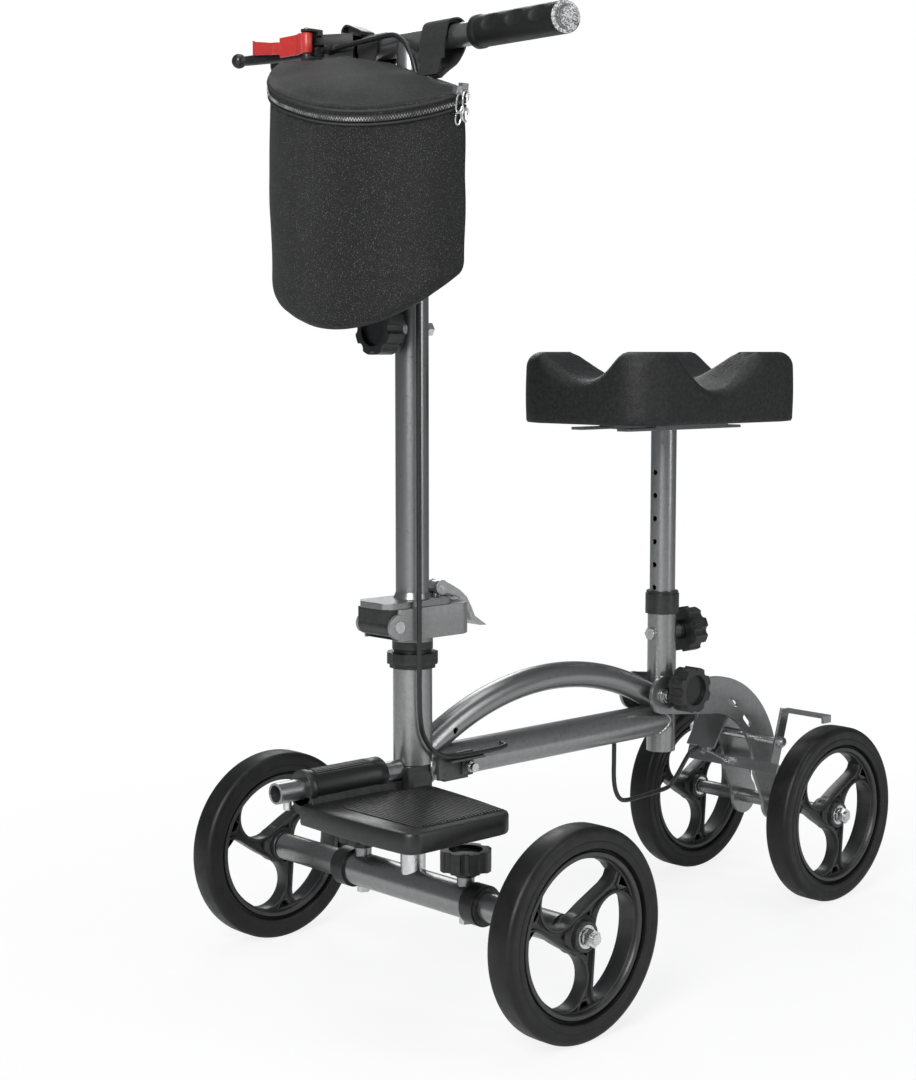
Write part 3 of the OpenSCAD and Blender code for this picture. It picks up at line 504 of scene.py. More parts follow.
def turn(points, a):
    """Points turned by a degrees about the origin."""
    c, s = math.cos(math.radians(a)), math.sin(math.radians(a))
    return [(x * c - y * s, x * s + y * c) for x, y in points]


def hub_mesh():
    """Hub with three raised comma-shaped openings, its rim and its boss, round the origin."""
    shape = Shape()
    holes = []
    for k in range(3):
        holes.append(turn(comma(0.3), 120 * k))
        holes.append(turn([(63, -3), (69.5, -7), (69.5, 7), (63, 3)], 120 * k + 34))
        holes.append(turn([(17.5, -5), (24, -1.5), (17.5, 3.5)], 120 * k + 178))
    add_prism(shape, arc(0, 0, 73, 0, 355, 71), 5, 0.6, TO_SIDE, holes)
    for k in range(3):
        add_prism(shape, turn(comma(2.8), 120 * k), 8.2, 0.9, TO_SIDE, [turn(comma(0), 120 * k)])
        add_prism(shape, turn([(60.5, -5), (71, -10), (71, 10), (60.5, 5)], 120 * k + 34), 7, 0.8,
                  TO_SIDE, [turn([(63, -3), (69.5, -7), (69.5, 7), (63, 3)], 120 * k + 34)])
    rim = [(-12.5, 72), (-12.5, 76.2), (-11, 77.2), (-10, 77.6), (-9.5, 80), (-8.5, 81.2),
           (8.5, 81.2), (9.5, 80), (10, 77.6), (11, 77.2), (12.5, 76.2), (12.5, 72.8),
           (11.5, 71.8), (8, 71.2), (7.5, 70.2), (-7.5, 70.2), (-8, 71.2), (-11.5, 71.8),
           (-12.5, 72.8)]
    shape.turned(rim + [rim[0]], Vector((0, 0, 0)), n=120)
    boss = [(-8.2, 11.1), (-14.2, 11.1), (-15, 11.8), (-15, 13.6), (-14, 14.6), (-8.5, 15),
            (-7, 17.5), (-5.5, 19.5), (5.5, 19.5), (7, 17.5), (8.5, 15), (14, 14.6), (15, 13.6),
            (15, 11.8), (14.2, 11.1), (8.2, 11.1), (8.2, 6), (-8.2, 6), (-8.2, 11.1)]
    shape.turned(boss, Vector((0, 0, 0)), n=72)
    return shape


def tyre_profile():
    """Section of the tyre as (along the axle, radius), in mm."""
    side = [(-14.4, 80.2), (-15.2, 82), (-15.2, 86.4), (-14.7, 87.2), (-15.1, 88.2), (-15, 93)]
    crown = arc(-8.8, 93.6, 6.3, 180, 100, 8) + [(0, WHEEL_R)]
    left = side + [(x, min(y, WHEEL_R)) for x, y in crown]
    right = [(-x, y) for x, y in left[::-1]][1:]
    return left + right + [left[0]]


HUB_SHAPE = hub_mesh()
WHEELS = {
    "front_left": pt(221, 0, WHEEL_R), "front_right": pt(-221, 0, WHEEL_R),
    "rear_left": pt(101.5, 546, WHEEL_R), "rear_right": pt(-101.5, 546, WHEEL_R),
}
for place, centre in WHEELS.items():
    hub = Shape()
    hub.add([v + centre for v in HUB_SHAPE.verts], HUB_SHAPE.faces)
    end, side = place.split("_")
    body = "wheel_%s" % place
    hub.make("hub_%s" % place, HUB, body, "hub_plastic", ["%s_hub_%s" % (end, side)], sharp=40)
    tyre = Shape().turned(tyre_profile(), centre, n=144)
    tyre.make("tyre_%s" % place, TYRE, body, "tyre", ["%s_tyre_%s" % (end, side)], sharp=25)

# ---------------------------------------------------------------- welds

def weld_bead(name, path, body, r=1.6, n=90):
    """Bead of overlapping ripples along a closed path, given as a function of 0..1."""
    shape = Shape()
    rows = []
    for i in range(n):
        t = i / n
        p = path(t)
        q = path((t + 1 / n) % 1)
        ahead = (q - p).normalized()
        side = ahead.orthogonal().normalized()
        other = ahead.cross(side)
        rr = r * MM * (1 + 0.18 * math.sin(i * 1.9))
        rows.append([p + (side * math.cos(a) + other * math.sin(a)) * rr
                     for a in (2 * math.pi * k / 8 for k in range(8))])
    # the frame's side vectors can turn over from ring to ring, so each ring is lined up
    for i in range(1, n):
        best = min(range(8), key=lambda s: sum((rows[i][(k + s) % 8] - rows[i - 1][k]).length
                                                for k in range(8)))
        rows[i] = rows[i][best:] + rows[i][:best]
    shape.grid(rows + [rows[0]], cap=False)
    return shape.make(name, GUNMETAL, body, "gunmetal", sharp=80, weld=False)


def ring_round_cylinder(cx, ry, r_post, axis_z, r_tube, sign):
    """Where a tube along Y meets an upright tube."""
    def path(t):
        a = 2 * math.pi * t
        x = r_tube * math.cos(a)
        z = axis_z + r_tube * math.sin(a)
        y = ry + sign * math.sqrt(max(r_post ** 2 - x * x, 0))
        return pt(cx + x, y, z)
    return path


weld_bead("weld_main_head", ring_round_cylinder(0, 0, 19.6, 218.7, 17.6, 1), "frame")
weld_bead("weld_main_seat", ring_round_cylinder(0, SEAT_Y, 18.2, 218.7, 17.6, -1), "frame")

# ---------------------------------------------------------------- grips

GRIP_START, GRIP_LENGTH, GRIP_R = 92.6, 115.0, 14.5
DISHES = (27.4, 58.4, 87.9)     # finger dishes, from the grip's inner end


def grip_radius(along, a):
    """Radius of the grip, with a collar at its inner end and three dishes at the front."""
    r = GRIP_R + 0.9 * min(1.0, max(0.0, (7 - along) / 1.5))
    for middle in DISHES:
        turned = math.atan2(math.sin(a - 2.75), math.cos(a - 2.75))
        q = ((along - middle) / 10.5) ** 2 + (turned / 0.6) ** 2
        if q < 1:
            r -= 2.8 * (1 - q) ** 0.7
    return r


def grip_ring(side, along, scale, radius=None, n=64):
    """Ring of the grip; the outer end is cut on a slant, shorter at the front."""
    ring = []
    for k in range(n):
        a = 2 * math.pi * k / n
        r = (radius or grip_radius(along, a)) * scale
        x = GRIP_START + along - 4 * (1 - math.cos(a)) * (along / GRIP_LENGTH) ** 8
        ring.append(pt(side * x, r * math.cos(a), BAR_Z + r * math.sin(a)))
    return ring


def grip(side):
    """Rubber grip with a foam end; side is 1 or -1."""
    name = "grip_left" if side > 0 else "grip_right"
    end = Shape()
    end.grid([grip_ring(side, GRIP_LENGTH - 6, 1, 14.3), grip_ring(side, GRIP_LENGTH - 1, 1, 14.3),
              grip_ring(side, GRIP_LENGTH, 0.9, 14.3)])
    end.make(name + "_end", FOAM_END, "handlebar", "grip_rubber", sharp=60)
    shape = Shape()
    shape.grid([grip_ring(side, (GRIP_LENGTH - 2) * i / 90, 1) for i in range(91)])
    return shape.make("%s_body" % name, GRIP, "handlebar", "grip_rubber", [name], sharp=50)


grip(1)
grip(-1)

# ---------------------------------------------------------------- knee pad

PAD_HALF = (95.0, 135.0)
PAD_MID = pt(0, 364, 0)


def soft_dip(t):
    return (1 - t * t) ** 1.3 if abs(t) < 1 else 0.0


def pad_height(x, y):
    """Height of the pad's top over its underside, in mm: four lobes round two channels."""
    along = 29 * soft_dip(x / 58)
    across = 41 * soft_dip((y + 9) / 72)
    dip = (along ** 4 + across ** 4) ** 0.25
    return 76 - dip


def pad_outline(r=38.0):
    """Rounded rectangle, as unit directions scaled to the pad's edge."""
    w, l = PAD_HALF
    pts = []
    for cx, cy, a0 in ((w - r, l - r, 0), (-w + r, l - r, 90), (-w + r, -l + r, 180),
                       (w - r, -l + r, 270)):
        pts += arc(cx, cy, r, a0, a0 + 90, 14)
    dense = []
    for a, b in zip(pts, pts[1:] + pts[:1]):
        length = math.dist(a, b)
        steps = max(1, int(length / 5))
        dense += [(a[0] + (b[0] - a[0]) * i / steps, a[1] + (b[1] - a[1]) * i / steps)
                  for i in range(steps)]
    return dense


def front_dent(x, y, z):
    """How far the long channel pulls the pad's front end back, in mm."""
    return 7 * soft_dip(x / 52) * max(0.0, (-y - 90) / 45) * z / 50


def knee_pad():
    """Moulded pad: its top, its rolled edge, its walls and its underside, ring by ring."""
    shape = Shape()
    outline = pad_outline()
    edge = 17.0
    rows = []
    inner = [0.02, 0.08, 0.15, 0.22, 0.3, 0.38, 0.46, 0.54, 0.61, 0.68, 0.74]
    for u in inner:
        rows.append([(x * u, y * u, pad_height(x * u, y * u)) for x, y in outline])
    for k in range(13):
        a = math.pi / 2 * k / 12
        inset = edge * (1 - math.sin(a))
        drop = edge * (1 - math.cos(a))
        row = []
        for x, y in outline:
            d = math.hypot(x, y)
            s = (d - inset) / d
            h = pad_height(x * s, y * s)
            row.append((x * s, y * s, h - drop))
        rows.append(row)
    for k in range(1, 9):
        t = k / 8
        rows.append([(x * (1 + 0.006 * math.sin(math.pi * t)), y * (1 + 0.004 * math.sin(math.pi * t)),
                      (rows[len(inner) + 12][i][2]) * (1 - t) + 3 * t)
                     for i, (x, y) in enumerate(outline)])
    rows.append([(x * 0.99, y * 0.993, 0.6) for x, y in outline])
    rows.append([(x * 0.95, y * 0.96, 0.0) for x, y in outline])
    points = [[PAD_MID + Vector((x * MM, (y + front_dent(x, y, z)) * MM, (548.4 + z) * MM))
               for x, y, z in row] for row in rows]
    shape.grid(points, cap=True)
    pad = shape.make("pad_cushion", VINYL, "seat", "pad_vinyl", ["knee_pad"], sharp=75)
    return pad


knee_pad()

# ---------------------------------------------------------------- bag

BAG_HALF, BAG_DEEP, BAG_BACK = 97.0, 118.0, -22.0
BAG_ROUND = 0.1         # share of the wall's height that the rounded bottom takes


def bag_outline(grow=0.0, n=96):
    """Flat back with small corners and a half-oval front, anticlockwise seen from above."""
    pts = []
    for i in range(n + 1):
        a = math.pi * i / n
        e = 2 / 2.15
        x = BAG_HALF * math.copysign(abs(math.cos(a)) ** e, math.cos(a))
        y = -BAG_DEEP * math.sin(a) ** e
        lean = 1 + 0.06 * max(0.0, -math.cos(a)) * math.sin(a)
        pts.append((x * lean, y * lean))
    back = [(-BAG_HALF + 6 + i * (2 * BAG_HALF - 12) / 30, 4.0) for i in range(31)]
    loop = pts + back
    out = []
    for x, y in loop:
        d = math.hypot(x, y + 45)
        out.append((x * (1 + grow / d), (y + 45) * (1 + grow / d) - 45))
    return out


def bag_low(x, y):
    """Height of the bag's sloping bottom, in mm."""
    return 722 - 0.3 * x + 0.6 * y


def bag_zip(x, y):
    """Height of the sloping zip line, in mm."""
    return min(885 - 0.32 * x + 0.345 * y, 890)


def bag_pt(x, y, z):
    return pt(x, BAG_BACK + y, z)


def wrinkle(p, size, amount, seed=0.0):
    """Smooth bumps about size mm across and amount high."""
    return noise.noise(Vector(p) * (1000 / size) + Vector((seed, seed * 2, 0))) * amount


def bag_walls():
    """Shell from the rounded bottom up to the zip, with small creases."""
    loop = bag_outline()
    rows = []
    levels = 56
    for k in range(levels + 1):
        t = k / levels
        row = []
        for x, y in loop:
            low, high = bag_low(x, y), bag_zip(x, y) - 5
            z = low + (high - low) * t
            swell = 1 + 0.012 * math.sin(math.pi * t)
            if t < BAG_ROUND:
                swell -= 0.1 * (1 - math.sqrt(1 - (1 - t / BAG_ROUND) ** 2))
            p = bag_pt(x * swell, (y + 40) * swell - 40, z)
            out = Vector((x, y + 40, 0)).normalized()
            fold = wrinkle(p, 46, 1.5) + wrinkle((p.x, p.y, p.z * 0.4), 21, 0.55, 3.0)
            if t > 0.9:
                fold += 0.7 * math.sin(x * 0.35) * (t - 0.9) * 10
            row.append(p + out * fold * MM)
        rows.append(row)
    bottom = [[bag_pt(x * u, (y + 40) * u - 40, bag_low(x * u, (y + 40) * u - 40) - 3.0 * (1 - u))
               for x, y in loop] for u in (0.05, 0.3, 0.55, 0.75, 0.87)]
    top = [[bag_pt(x * u, (y + 40) * u - 40, bag_zip(x * u, (y + 40) * u - 40) - 5)
            for x, y in loop] for u in (0.98, 0.6, 0.1)]
    shape = Shape()
    shape.grid(bottom + rows + top, cap=True)
    return shape.make("bag_body", WEAVE, "handlebar", "bag_fabric", ["bag"], sharp=70)


def bag_lid():
    """Domed lid over a rolled edge."""
    lid = Shape()
    rows = []
    for drop, grow in ((-4, -1.5), (-3.5, 1.2), (-1.5, 2.0), (1.5, 2.0), (3.5, 1.6)):
        rows.append([bag_pt(x, y, bag_zip(x, min(y, 0)) + drop + 4.5)
                     for x, y in bag_outline(grow)])
    for k in range(1, 12):
        u = 1 - k / 11.6
        row = []
        for x, y in bag_outline():
            xx, yy = x * u, (y + 48) * u - 48
            dome = 8 * (1 - u ** 2.6)
            p = bag_pt(xx, yy, bag_zip(xx, yy) + 6 + dome)
            row.append(p + Vector((0, 0, wrinkle(p, 34, 1.6, 5.0) * MM)))
        rows.append(row)
    lid.grid(rows, cap=True)
    return lid.make("bag_lid", WEAVE, "handlebar", "bag_fabric", sharp=70)


def bag_zip_line():
    """Zip tape, two rows of teeth, and a piping cord above and below."""
    tape = Shape()
    tape.grid([[bag_pt(x, y, bag_zip(x, min(y, 0)) + h) for x, y in bag_outline(g)]
               for h, g in ((-5.5, 0.6), (-4.5, 2.0), (0.4, 2.0), (1.0, 0.4))], cap=False)
    tape.make("bag_zip_tape", BELT, "handlebar", "bag_webbing", sharp=60)
    teeth = Shape()
    front = [p for p in bag_outline(2.4, 260) if p[1] < 0.5]
    for i, ((x, y), after) in enumerate(zip(front, front[1:])):
        d = Vector((after[0] - x, after[1] - y, 0))
        if d.length < 0.05:
            continue
        turn_z = Matrix.Rotation(math.atan2(d.y, d.x), 3, "Z")
        lift = 0.7 if i % 2 else -0.7
        centre = bag_pt(x, y, bag_zip(x, y) - 2.0 + lift)
        teeth.box((-0.00032, -0.0006, -0.0008), (0.00032, 0.0006, 0.0008), turn_z, centre)
    teeth.make("bag_zip_teeth", TEETH, "handlebar", "fastener", sharp=30, weld=False)
    for name, grow, h, r in (("bag_piping_top", 1.6, 4.6, 1.5), ("bag_piping_zip", 1.2, -7.2, 1.3)):
        cord = Shape()
        path = [bag_pt(x, y, bag_zip(x, y) + h) for x, y in bag_outline(grow, 96)[:97]]
        cord.swept(path, r * MM, 8)
        cord.make(name, BELT, "handlebar", "bag_webbing", sharp=80)


bag_walls()
bag_lid()
bag_zip_line()


def zip_pull(x, ry, z, lean, name):
    """Slider with a ring and a tag hanging from it."""
    shape = Shape()
    at = pt(x, ry, z)
    tilt = Matrix.Rotation(lean, 3, "Y")
    shape.box((-0.003, -0.0035, -0.004), (0.003, 0.0035, 0.004), tilt, at)
    loop = [at + tilt @ Vector((0.0045, 0.004 * math.sin(a), -0.011 - 0.009 * math.cos(a)))
            for a in (2 * math.pi * k / 24 for k in range(25))]
    shape.swept(loop, 0.0009, 8)
    tag = [at + tilt @ Vector((0.0055, 0.0035 * math.sin(a), -0.024 - 0.006 * math.cos(a)))
           for a in (2 * math.pi * k / 24 for k in range(25))]
    shape.swept(tag, 0.001, 8)
    return shape.make(name, ZIP_METAL, "handlebar", "fastener", sharp=40, weld=False)


zip_pull(100, -26, 862, 0.12, "zip_pull_a")
zip_pull(100, -33, 859, 0.2, "zip_pull_b")


def band(name, x0, x1, path, thick, mat, body="handlebar", slot="bag_webbing", nodes=()):
    """Flat strap: path is (ry, z) in mm, running in the YZ plane."""
    pts = spline([Vector((0, a, b)) for a, b in path], 8)
    rows = []
    for i, p in enumerate(pts):
        t = (pts[min(i + 1, len(pts) - 1)] - pts[max(i - 1, 0)]).normalized()
        n = Vector((0, -t.z, t.y))
        a, b = p + n * thick / 2, p - n * thick / 2
        wob = 0.5 * math.sin(i * 0.35)
        rows.append([pt(x0 + wob, a.y, a.z), pt(x1 + wob, a.y, a.z), pt(x1 + wob, b.y, b.z),
                     pt(x0 + wob, b.y, b.z)])
    shape = Shape().grid(rows, cap=True)
    return shape.make(name, mat, body, slot, nodes, sharp=40)


LOOP = [(-24, 878), (-19, 892), (-14.5, 906), (-13.4, 915), (-10, 924.5), (0, 928.6), (10, 924.5),
        (13.4, 915), (11, 903), (3, 892), (-8, 884), (-18, 876)]
band("strap_right", -60, -34, LOOP, 1.8, BELT, nodes=["bag_straps"])
band("strap_left", 34, 62, LOOP, 1.8, BELT)
band("strap_flap", 31, 65, [(9, 927.6), (0, 930.8), (-11, 926.6), (-15.4, 915), (-16.8, 903),
                            (-18.2, 893)], 1.8, BELT)

# ---------------------------------------------------------------- foot rest

def foot_rest():
    """Ribbed tread plate with the sleeve that turns on its tube."""
    shape = Shape()
    outline = []
    for cx, cy, r, a0, a1 in ((150, -135, 15, 270, 360), (146, -38, 19, 0, 82)):
        outline += arc(cx, cy, r, a0, a1, 10)
    outline += [(110, -12), (70, -6.5), (40, -3.5), (29, -3.5), (26, -10), (24, -40), (6, -44),
                (6, -141), (10, -149)]
    outline += [(60, -151.6), (110, -152)]
    add_prism(shape, outline, 10, 3.2, Matrix.Translation(pt(0, 0, 196)))
    # tread: a raised field of ribs running across, with a dotted border
    for i in range(26):
        y = -128 + i * 4.1
        x0, x1 = 34, 150
        if y < -118:
            x0 = 34 + (-118 - y) * 1.5
        if y > -32:
            x1 = 150 - (y + 32) * 1.5
        shape.box(pt(x0, y, 205.6), pt(x1, y + 2.0, 207.0))
    for i in range(25):
        y = -126 + i * 4.1
        shape.box(pt(151.5, y, 205.6), pt(153.5, y + 2.0, 207.2))
    # sleeve on the tube, with a collar at each end
    sleeve = [(-141, 10.1), (-141, 16.2), (-139, 17.6), (-134, 17.6), (-133, 16.6), (-128, 16.4),
              (-60, 16.4), (-56, 17), (-46, 17), (-44, 15.6), (-43, 10.1), (-141, 10.1)]
    shape.turned([(y + FRONT_Y, r) for y, r in sleeve],
                 Vector((0, 0, 0.218)), "Y", 56)
    for i in range(-4, 9):
        a = math.radians(90 + i * 9)
        c = Vector((16.6 * math.cos(a), 0, 16.6 * math.sin(a))) * MM
        turn_y = Matrix.Rotation(-a, 3, "Y")
        shape.box((-0.0006, -0.034, -0.0007), (0.0006, 0.034, 0.0007), turn_y,
                  Vector((c.x, (-94 + FRONT_Y) * MM, 0.218 + c.z)))
    shape.grid([[pt(x, y, z) for x, z in ((-13, 210), (-8, 196), (8, 190), (26, 190), (26, 204.5),
                                          (19, 206), (15.5, 212))] for y in (-141, -44)])
    return shape.make("foot_rest_body", PLASTIC, "foot_rest", "black_plastic", ["foot_rest"],
                      sharp=35)


foot_rest()

# ---------------------------------------------------------------- brake lever, perch, latch

def brake_perch():
    """Clamp, arm, lugs, cable adjuster and curled tab, and the two pins' ends."""
    perch = Shape()
    arm = [(-66, -4), (-92, -4), (-92, -16.4), (-124, -16.4), (-125, -26), (-117, -38), (-104, -38),
           (-92, -32), (-66, -17)]
    add_prism(perch, arm, 5.3, 1.4, Matrix.Translation(pt(0, 0, 925.9)))
    add_prism(perch, arm, 2.2, 1.0, Matrix.Translation(pt(0, 0, 907)))
    add_prism(perch, [(-66, -4), (-92, -4), (-93.5, -16.6), (-92, -31.6), (-66, -16.8)], 12, 1.2,
              Matrix.Translation(pt(0, 0, 918)))
    ring = [(-91, 11.3), (-91, 15), (-90, 16), (-67, 16), (-66, 15), (-66, 11.3), (-91, 11.3)]
    perch.turned(ring, pt(0, 0, BAR_Z), "X", 48)
    perch.box(pt(-87, -5, 893), pt(-70, 7, 902))
    lug = [(-107, -32), (-107, -47), (-103.5, -51), (-96.5, -51), (-93, -47), (-93, -32)]
    add_prism(perch, lug, 1.5, 0.7, Matrix.Translation(pt(0, 0, 933.9)))
    add_prism(perch, [(-107, -32), (-107, -37.8), (-93, -37.8), (-93, -32)], 2, 0.5,
              Matrix.Translation(pt(0, 0, 931)))
    add_prism(perch, lug, 1.9, 0.7, Matrix.Translation(pt(0, 0, 907)))
    perch.turned([(905, 0), (905, 4.5), (911.6, 4.5), (911.6, 0)], pt(-100, -46, 0), "Z", 28)
    # cable adjuster and its lock ring
    perch.turned([(-95, 0), (-95, 3.4), (-86, 3.4), (-86, 4.6), (-82, 4.6), (-82, 3.2), (-77, 3),
                  (-76.2, 2.4), (-76.2, 0)], pt(0, -30, 916), "X", 24)
    # curled tab on the perch's top
    tab = [(-63, 931.5), (-66, 933.5), (-78, 938.5), (-86, 941), (-90.5, 939.8), (-93, 936.5),
           (-92, 932.5), (-88.5, 931)]
    rows = []
    pts = spline([Vector((x, 0, z)) for x, z in tab], 5)
    for i, q in enumerate(pts):
        t = (pts[min(i + 1, len(pts) - 1)] - pts[max(i - 1, 0)]).normalized()
        n = Vector((-t.z, 0, t.x)) * 1.2
        rows.append([pt(q.x + n.x, -8, q.z + n.z), pt(q.x + n.x, 8, q.z + n.z),
                     pt(q.x - n.x, 8, q.z - n.z), pt(q.x - n.x, -8, q.z - n.z)])
    perch.grid(rows)
    perch.grid([[pt(-84, y, 930), pt(-62.5, y, 930), pt(-63, y, 932), pt(-78, y, 937.5),
                 pt(-84, y, 939)] for y in (-7, 7)])
    perch.make("perch_body", PLASTIC, "handlebar", "black_plastic", ["brake_perch"], sharp=40,
               weld=False)
    bolts = Shape()
    bolts.turned([(0, 0), (0, 5), (2.2, 5), (3, 4.2), (3, 2.4), (1.4, 2.2), (1.4, 0)],
                 pt(-105, -28, 931), "Z", 24)
    bolts.turned([(935, 0), (935, 3.2), (936, 3.2), (936.8, 2.2), (936.8, 0)], pt(-100, -46, 0), "Z",
                 24)
    bolts.turned([(902, 0), (902, 2.6), (904.9, 2.6), (904.9, 0)], pt(-100, -46, 0), "Z", 24)
    bolts.make("perch_screws", STEEL, "handlebar", "fastener", sharp=40, weld=False)


def brake_lever():
    """Tapering blade with a ball end. stations: x, y, half width and half height, in mm."""
    lever = Shape()
    rows = []
    stations = [(-98, -30, 7.2, 5.2), (-106, -31, 8.2, 5.2), (-122, -32, 8, 5.2),
                (-134, -35, 6.2, 5.2), (-150, -37.4, 5.2, 5.2), (-170, -40.4, 4.2, 5),
                (-190, -43.2, 3.8, 4.8), (-202, -45, 3.8, 4.6)]
    for x, y, wide, high in stations:
        z = 914.8 + max(0, (-x - 120)) * 0.014
        rows.append([pt(x, y + wide * math.copysign(abs(math.cos(a)) ** 0.5, math.cos(a)),
                        z + high * math.copysign(abs(math.sin(a)) ** 0.5, math.sin(a)))
                     for a in (2 * math.pi * k / 28 for k in range(28))])
    lever.grid(rows)
    ball = [(7.4 * math.cos(math.radians(a)), 7.4 * math.sin(math.radians(a)))
            for a in range(180, -1, -12)]
    lever.turned(ball, pt(-206, -49, 916), "X", 36)
    lever.make("brake_lever_blade", SATIN_BLACK, "brake_lever", "black_metal", ["brake_lever"],
               sharp=50, weld=False)


def add_plate(shape, path, heights, thick=2.8):
    """Upright plate along path, whose lower and upper edges run through heights."""
    pts = spline([Vector((x, y, 0)) for x, y in path], 6)
    rows = []
    for i, q in enumerate(pts):
        t = (pts[min(i + 1, len(pts) - 1)] - pts[max(i - 1, 0)]).normalized()
        n = Vector((-t.y, t.x, 0)) * thick / 2
        f = i / (len(pts) - 1) * (len(heights) - 1)
        k = min(int(f), len(heights) - 2)
        low, high = [a + (b - a) * (f - k) for a, b in zip(heights[k], heights[k + 1])]
        rows.append([pt(q.x + n.x, q.y + n.y, low), pt(q.x - n.x, q.y - n.y, low),
                     pt(q.x - n.x, q.y - n.y, high), pt(q.x + n.x, q.y + n.y, high)])
    shape.grid(rows)


def parking_latch():
    """Upright red plate in two steps, curled round its pin."""
    red = Shape()
    add_plate(red, [(-101, -49.6), (-107, -50), (-113, -47.6), (-122, -48.6), (-137, -50)],
              [(912.2, 931.8), (912, 931.5), (911.6, 930.6)])
    add_plate(red, [(-136, -50), (-146, -51), (-160, -49.8), (-176, -48.6), (-183, -48)],
              [(914.5, 926.5), (915.8, 927.6), (918, 931), (919.6, 934)])
    red.turned([(912.2, 2.3), (912.2, 4.6), (912.8, 5.1), (931.2, 5.1), (931.8, 4.6), (931.8, 2.3)],
               pt(-100, -46, 0), "Z", 36)
    red.make("parking_latch_plate", RED, "parking_latch", "red_plastic", ["parking_latch"],
             sharp=40, bevel=0.0007, weld=False)


brake_perch()
brake_lever()
parking_latch()

# ---------------------------------------------------------------- cables

CABLE_R = 0.0025
WIRE_R = 0.0009


def declare_cord(obj):
    """Returns obj as it is; it declares nothing."""
    return obj


def cable_piece(name, points, body=None, ends=None):
    line = spline(points, 6)
    shape = Shape().swept(line, CABLE_R, 14)
    obj = shape.make(name, CABLE, body, "cable_jacket", ["brake_cable_front"], sharp=60)
    declare_cord(obj)
    if ends:
        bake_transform(obj)
    return obj


cable_piece("cable_bar", [pt(-78, -30, 916), pt(-60, -28, 917.5), pt(-44, -25, 919),
                          pt(-30, -22, 920.5), pt(-16, -19, 922), pt(-4, -17.5, 921.5),
                          pt(8, -16.5, 915), pt(18, -16, 901), pt(26, -16.5, 882),
                          pt(30, -18, 862), pt(31, -19, 840)], "handlebar")
cable_piece("cable_column_top", [pt(31, -19, z) for z in range(840, 679, -20)], None,
            ("handlebar", "column", pt(31, -19, 838), pt(31, -19, 682)))
cable_piece("cable_column", [pt(31, -19, z) for z in range(680, 399, -20)], "column")
cable_piece("cable_hinge", [pt(31, -19, z) for z in range(400, 344, -5)], None,
            ("column", "steering", pt(31, -19, 398), pt(31, -19, 347)))
cable_piece("cable_head", [pt(31, -19, 345), pt(31, -19, 320), pt(31, -19, 300), pt(31, -18, 275),
                           pt(30, -13, 256), pt(28, 0, 240), pt(26, 16, 231), pt(25, 34, 227)],
            None, ("steering", "frame", pt(31, -19, 343), pt(25, 10, 235)))
cable_piece("cable_frame", [pt(25, 34, 227), pt(24.5, 60, 226.5), pt(24, 92, 227),
                            pt(23, 101, 227.5), pt(21, 107, 228), pt(14, 108, 228.5)], "frame")

REAR = [pt(0, 293, 203), pt(0, 293, 185), pt(0, 293, 163), pt(0, 296, 148), pt(0, 303, 138),
        pt(0, 314, 134.5), pt(0, 340, 135), pt(0, 368, 136.5), pt(0, 385, 139), pt(0, 398, 149),
        pt(0, 412, 164), pt(0, 423, 174), pt(0, 434.5, 176.6)]
rear = Shape().swept(spline(REAR, 6), CABLE_R, 14)
rear_cable = rear.make("cable_rear_loop", CABLE, None, "cable_jacket", ["brake_cable_rear"],
                       sharp=60)
declare_cord(rear_cable)
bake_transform(rear_cable)
WIRE = [pt(0, 444, 172.5), pt(1, 460, 166), pt(2, 475, 158), pt(3, 485, 151)]
wire = Shape().swept(WIRE, WIRE_R, 8)
wire_obj = wire.make("brake_wire", STEEL, None, "fastener", sharp=60)
declare_cord(wire_obj)
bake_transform(wire_obj)

# ---------------------------------------------------------------- floor, light, camera

bpy.ops.mesh.primitive_plane_add(size=14)
floor = bpy.context.object
floor.name = "studio_floor"
ground = Nodes("studio_floor_paint")
ground.link(ground.ramp(ground.noise(3, 2), 0.3, 0.7, grey(0.86), grey(0.88)),
            ground.shader.inputs["Base Color"])
ground.shader.inputs["Roughness"].default_value = 0.7
glow = ground.node("ShaderNodeEmission")
glow.inputs["Strength"].default_value = 1.0
reach = ground.node("ShaderNodeVectorMath", operation="LENGTH")
ground.link(ground.place, reach.inputs[0])
blend = ground.math("MULTIPLY", ground.span(reach.outputs["Value"], 0.82, 1.0, 0.25, 1.0),
                    ground.node("ShaderNodeLightPath").outputs["Is Camera Ray"])
white = ground.node("ShaderNodeMixShader")
ground.link(blend, white.inputs["Fac"])
ground.link(ground.shader.outputs[0], white.inputs[1])
ground.link(glow.outputs[0], white.inputs[2])
ground.link(white.outputs[0], ground.tree.nodes["Material Output"].inputs["Surface"])
floor.data.materials.append(ground.mat)

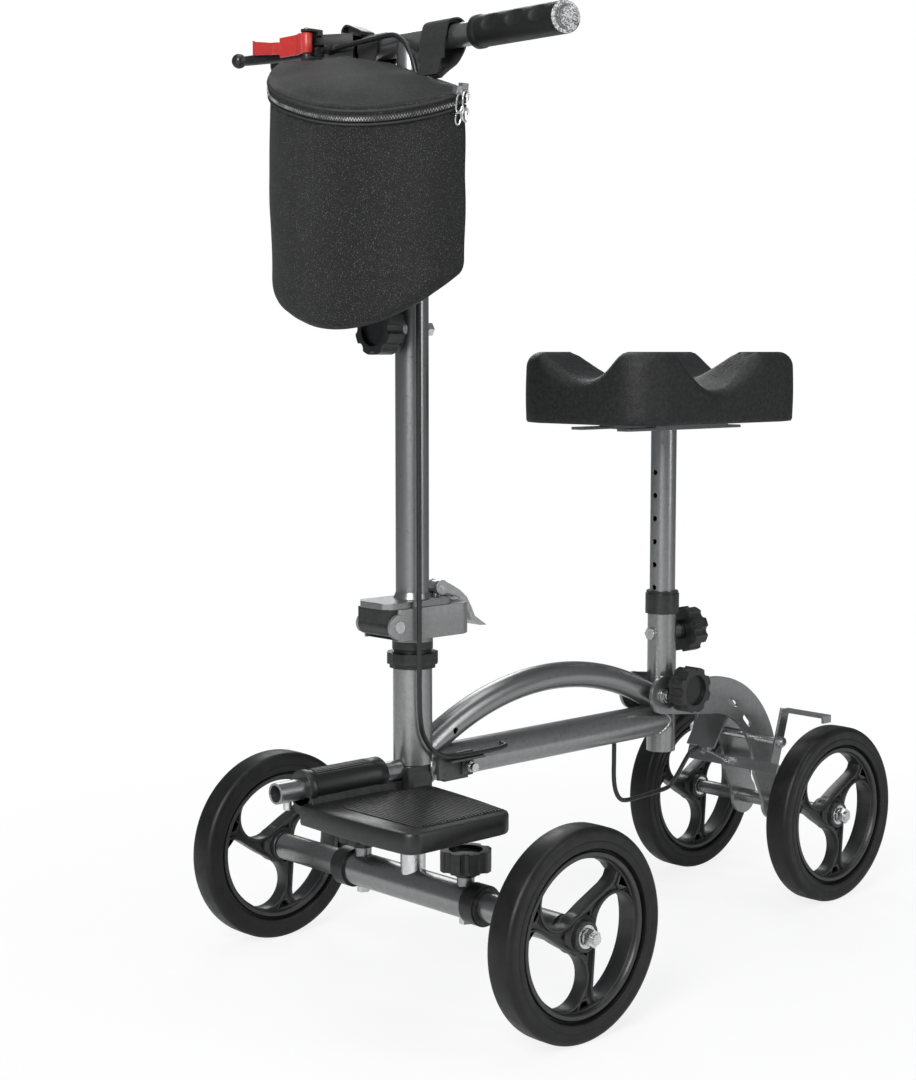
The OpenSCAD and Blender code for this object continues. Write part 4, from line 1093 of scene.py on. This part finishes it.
world = bpy.data.worlds.new("studio")
bpy.context.scene.world = world
world.use_nodes = True
tree = world.node_tree
for n in list(tree.nodes):
    tree.nodes.remove(n)
out = tree.nodes.new("ShaderNodeOutputWorld")
choose = tree.nodes.new("ShaderNodeMixShader")
ray = tree.nodes.new("ShaderNodeLightPath")
seen = tree.nodes.new("ShaderNodeBackground")
seen.inputs["Color"].default_value = (1, 1, 1, 1)
seen.inputs["Strength"].default_value = 1.0
fill = tree.nodes.new("ShaderNodeBackground")
fill.inputs["Color"].default_value = (0.9, 0.95, 1, 1)
fill.inputs["Strength"].default_value = 0.2
tree.links.new(ray.outputs["Is Camera Ray"], choose.inputs["Fac"])
tree.links.new(fill.outputs[0], choose.inputs[1])
tree.links.new(seen.outputs[0], choose.inputs[2])
tree.links.new(choose.outputs[0], out.inputs["Surface"])


def softbox(name, at, aim, size, power):
    light = bpy.data.lights.new(name, "AREA")
    light.shape = "RECTANGLE"
    light.size, light.size_y = size
    light.energy = power
    obj = bpy.data.objects.new(name, light)
    bpy.context.collection.objects.link(obj)
    obj.location = at
    obj.rotation_euler = (Vector(aim) - Vector(at)).to_track_quat("-Z", "Y").to_euler()
    return obj


softbox("key", (1.3, -2.6, 2.0), (0, 0, 0.4), (1.2, 2.0), 95)
softbox("side", (2.6, 0.9, 1.2), (0, 0, 0.4), (0.5, 1.8), 16)
softbox("back", (-1.8, 1.2, 1.8), (0, 0, 0.4), (0.8, 1.6), 14)
softbox("over", (0, 0, 3.2), (0, 0, 0), (2.0, 2.0), 30)

camera_data = bpy.data.cameras.new("camera")
camera = bpy.data.objects.new("camera", camera_data)
bpy.context.collection.objects.link(camera)
camera.location = (1.3916, -1.4765, 0.6240)
aim = Vector((0.06504, -0.238, 0.44692))
camera.rotation_euler = (aim - camera.location).to_track_quat("-Z", "Y").to_euler()
camera_data.lens = 64.18
camera_data.sensor_width = 36
camera_data.clip_start = 0.01
bpy.context.scene.camera = camera
bpy.context.scene.view_settings.view_transform = "Standard"
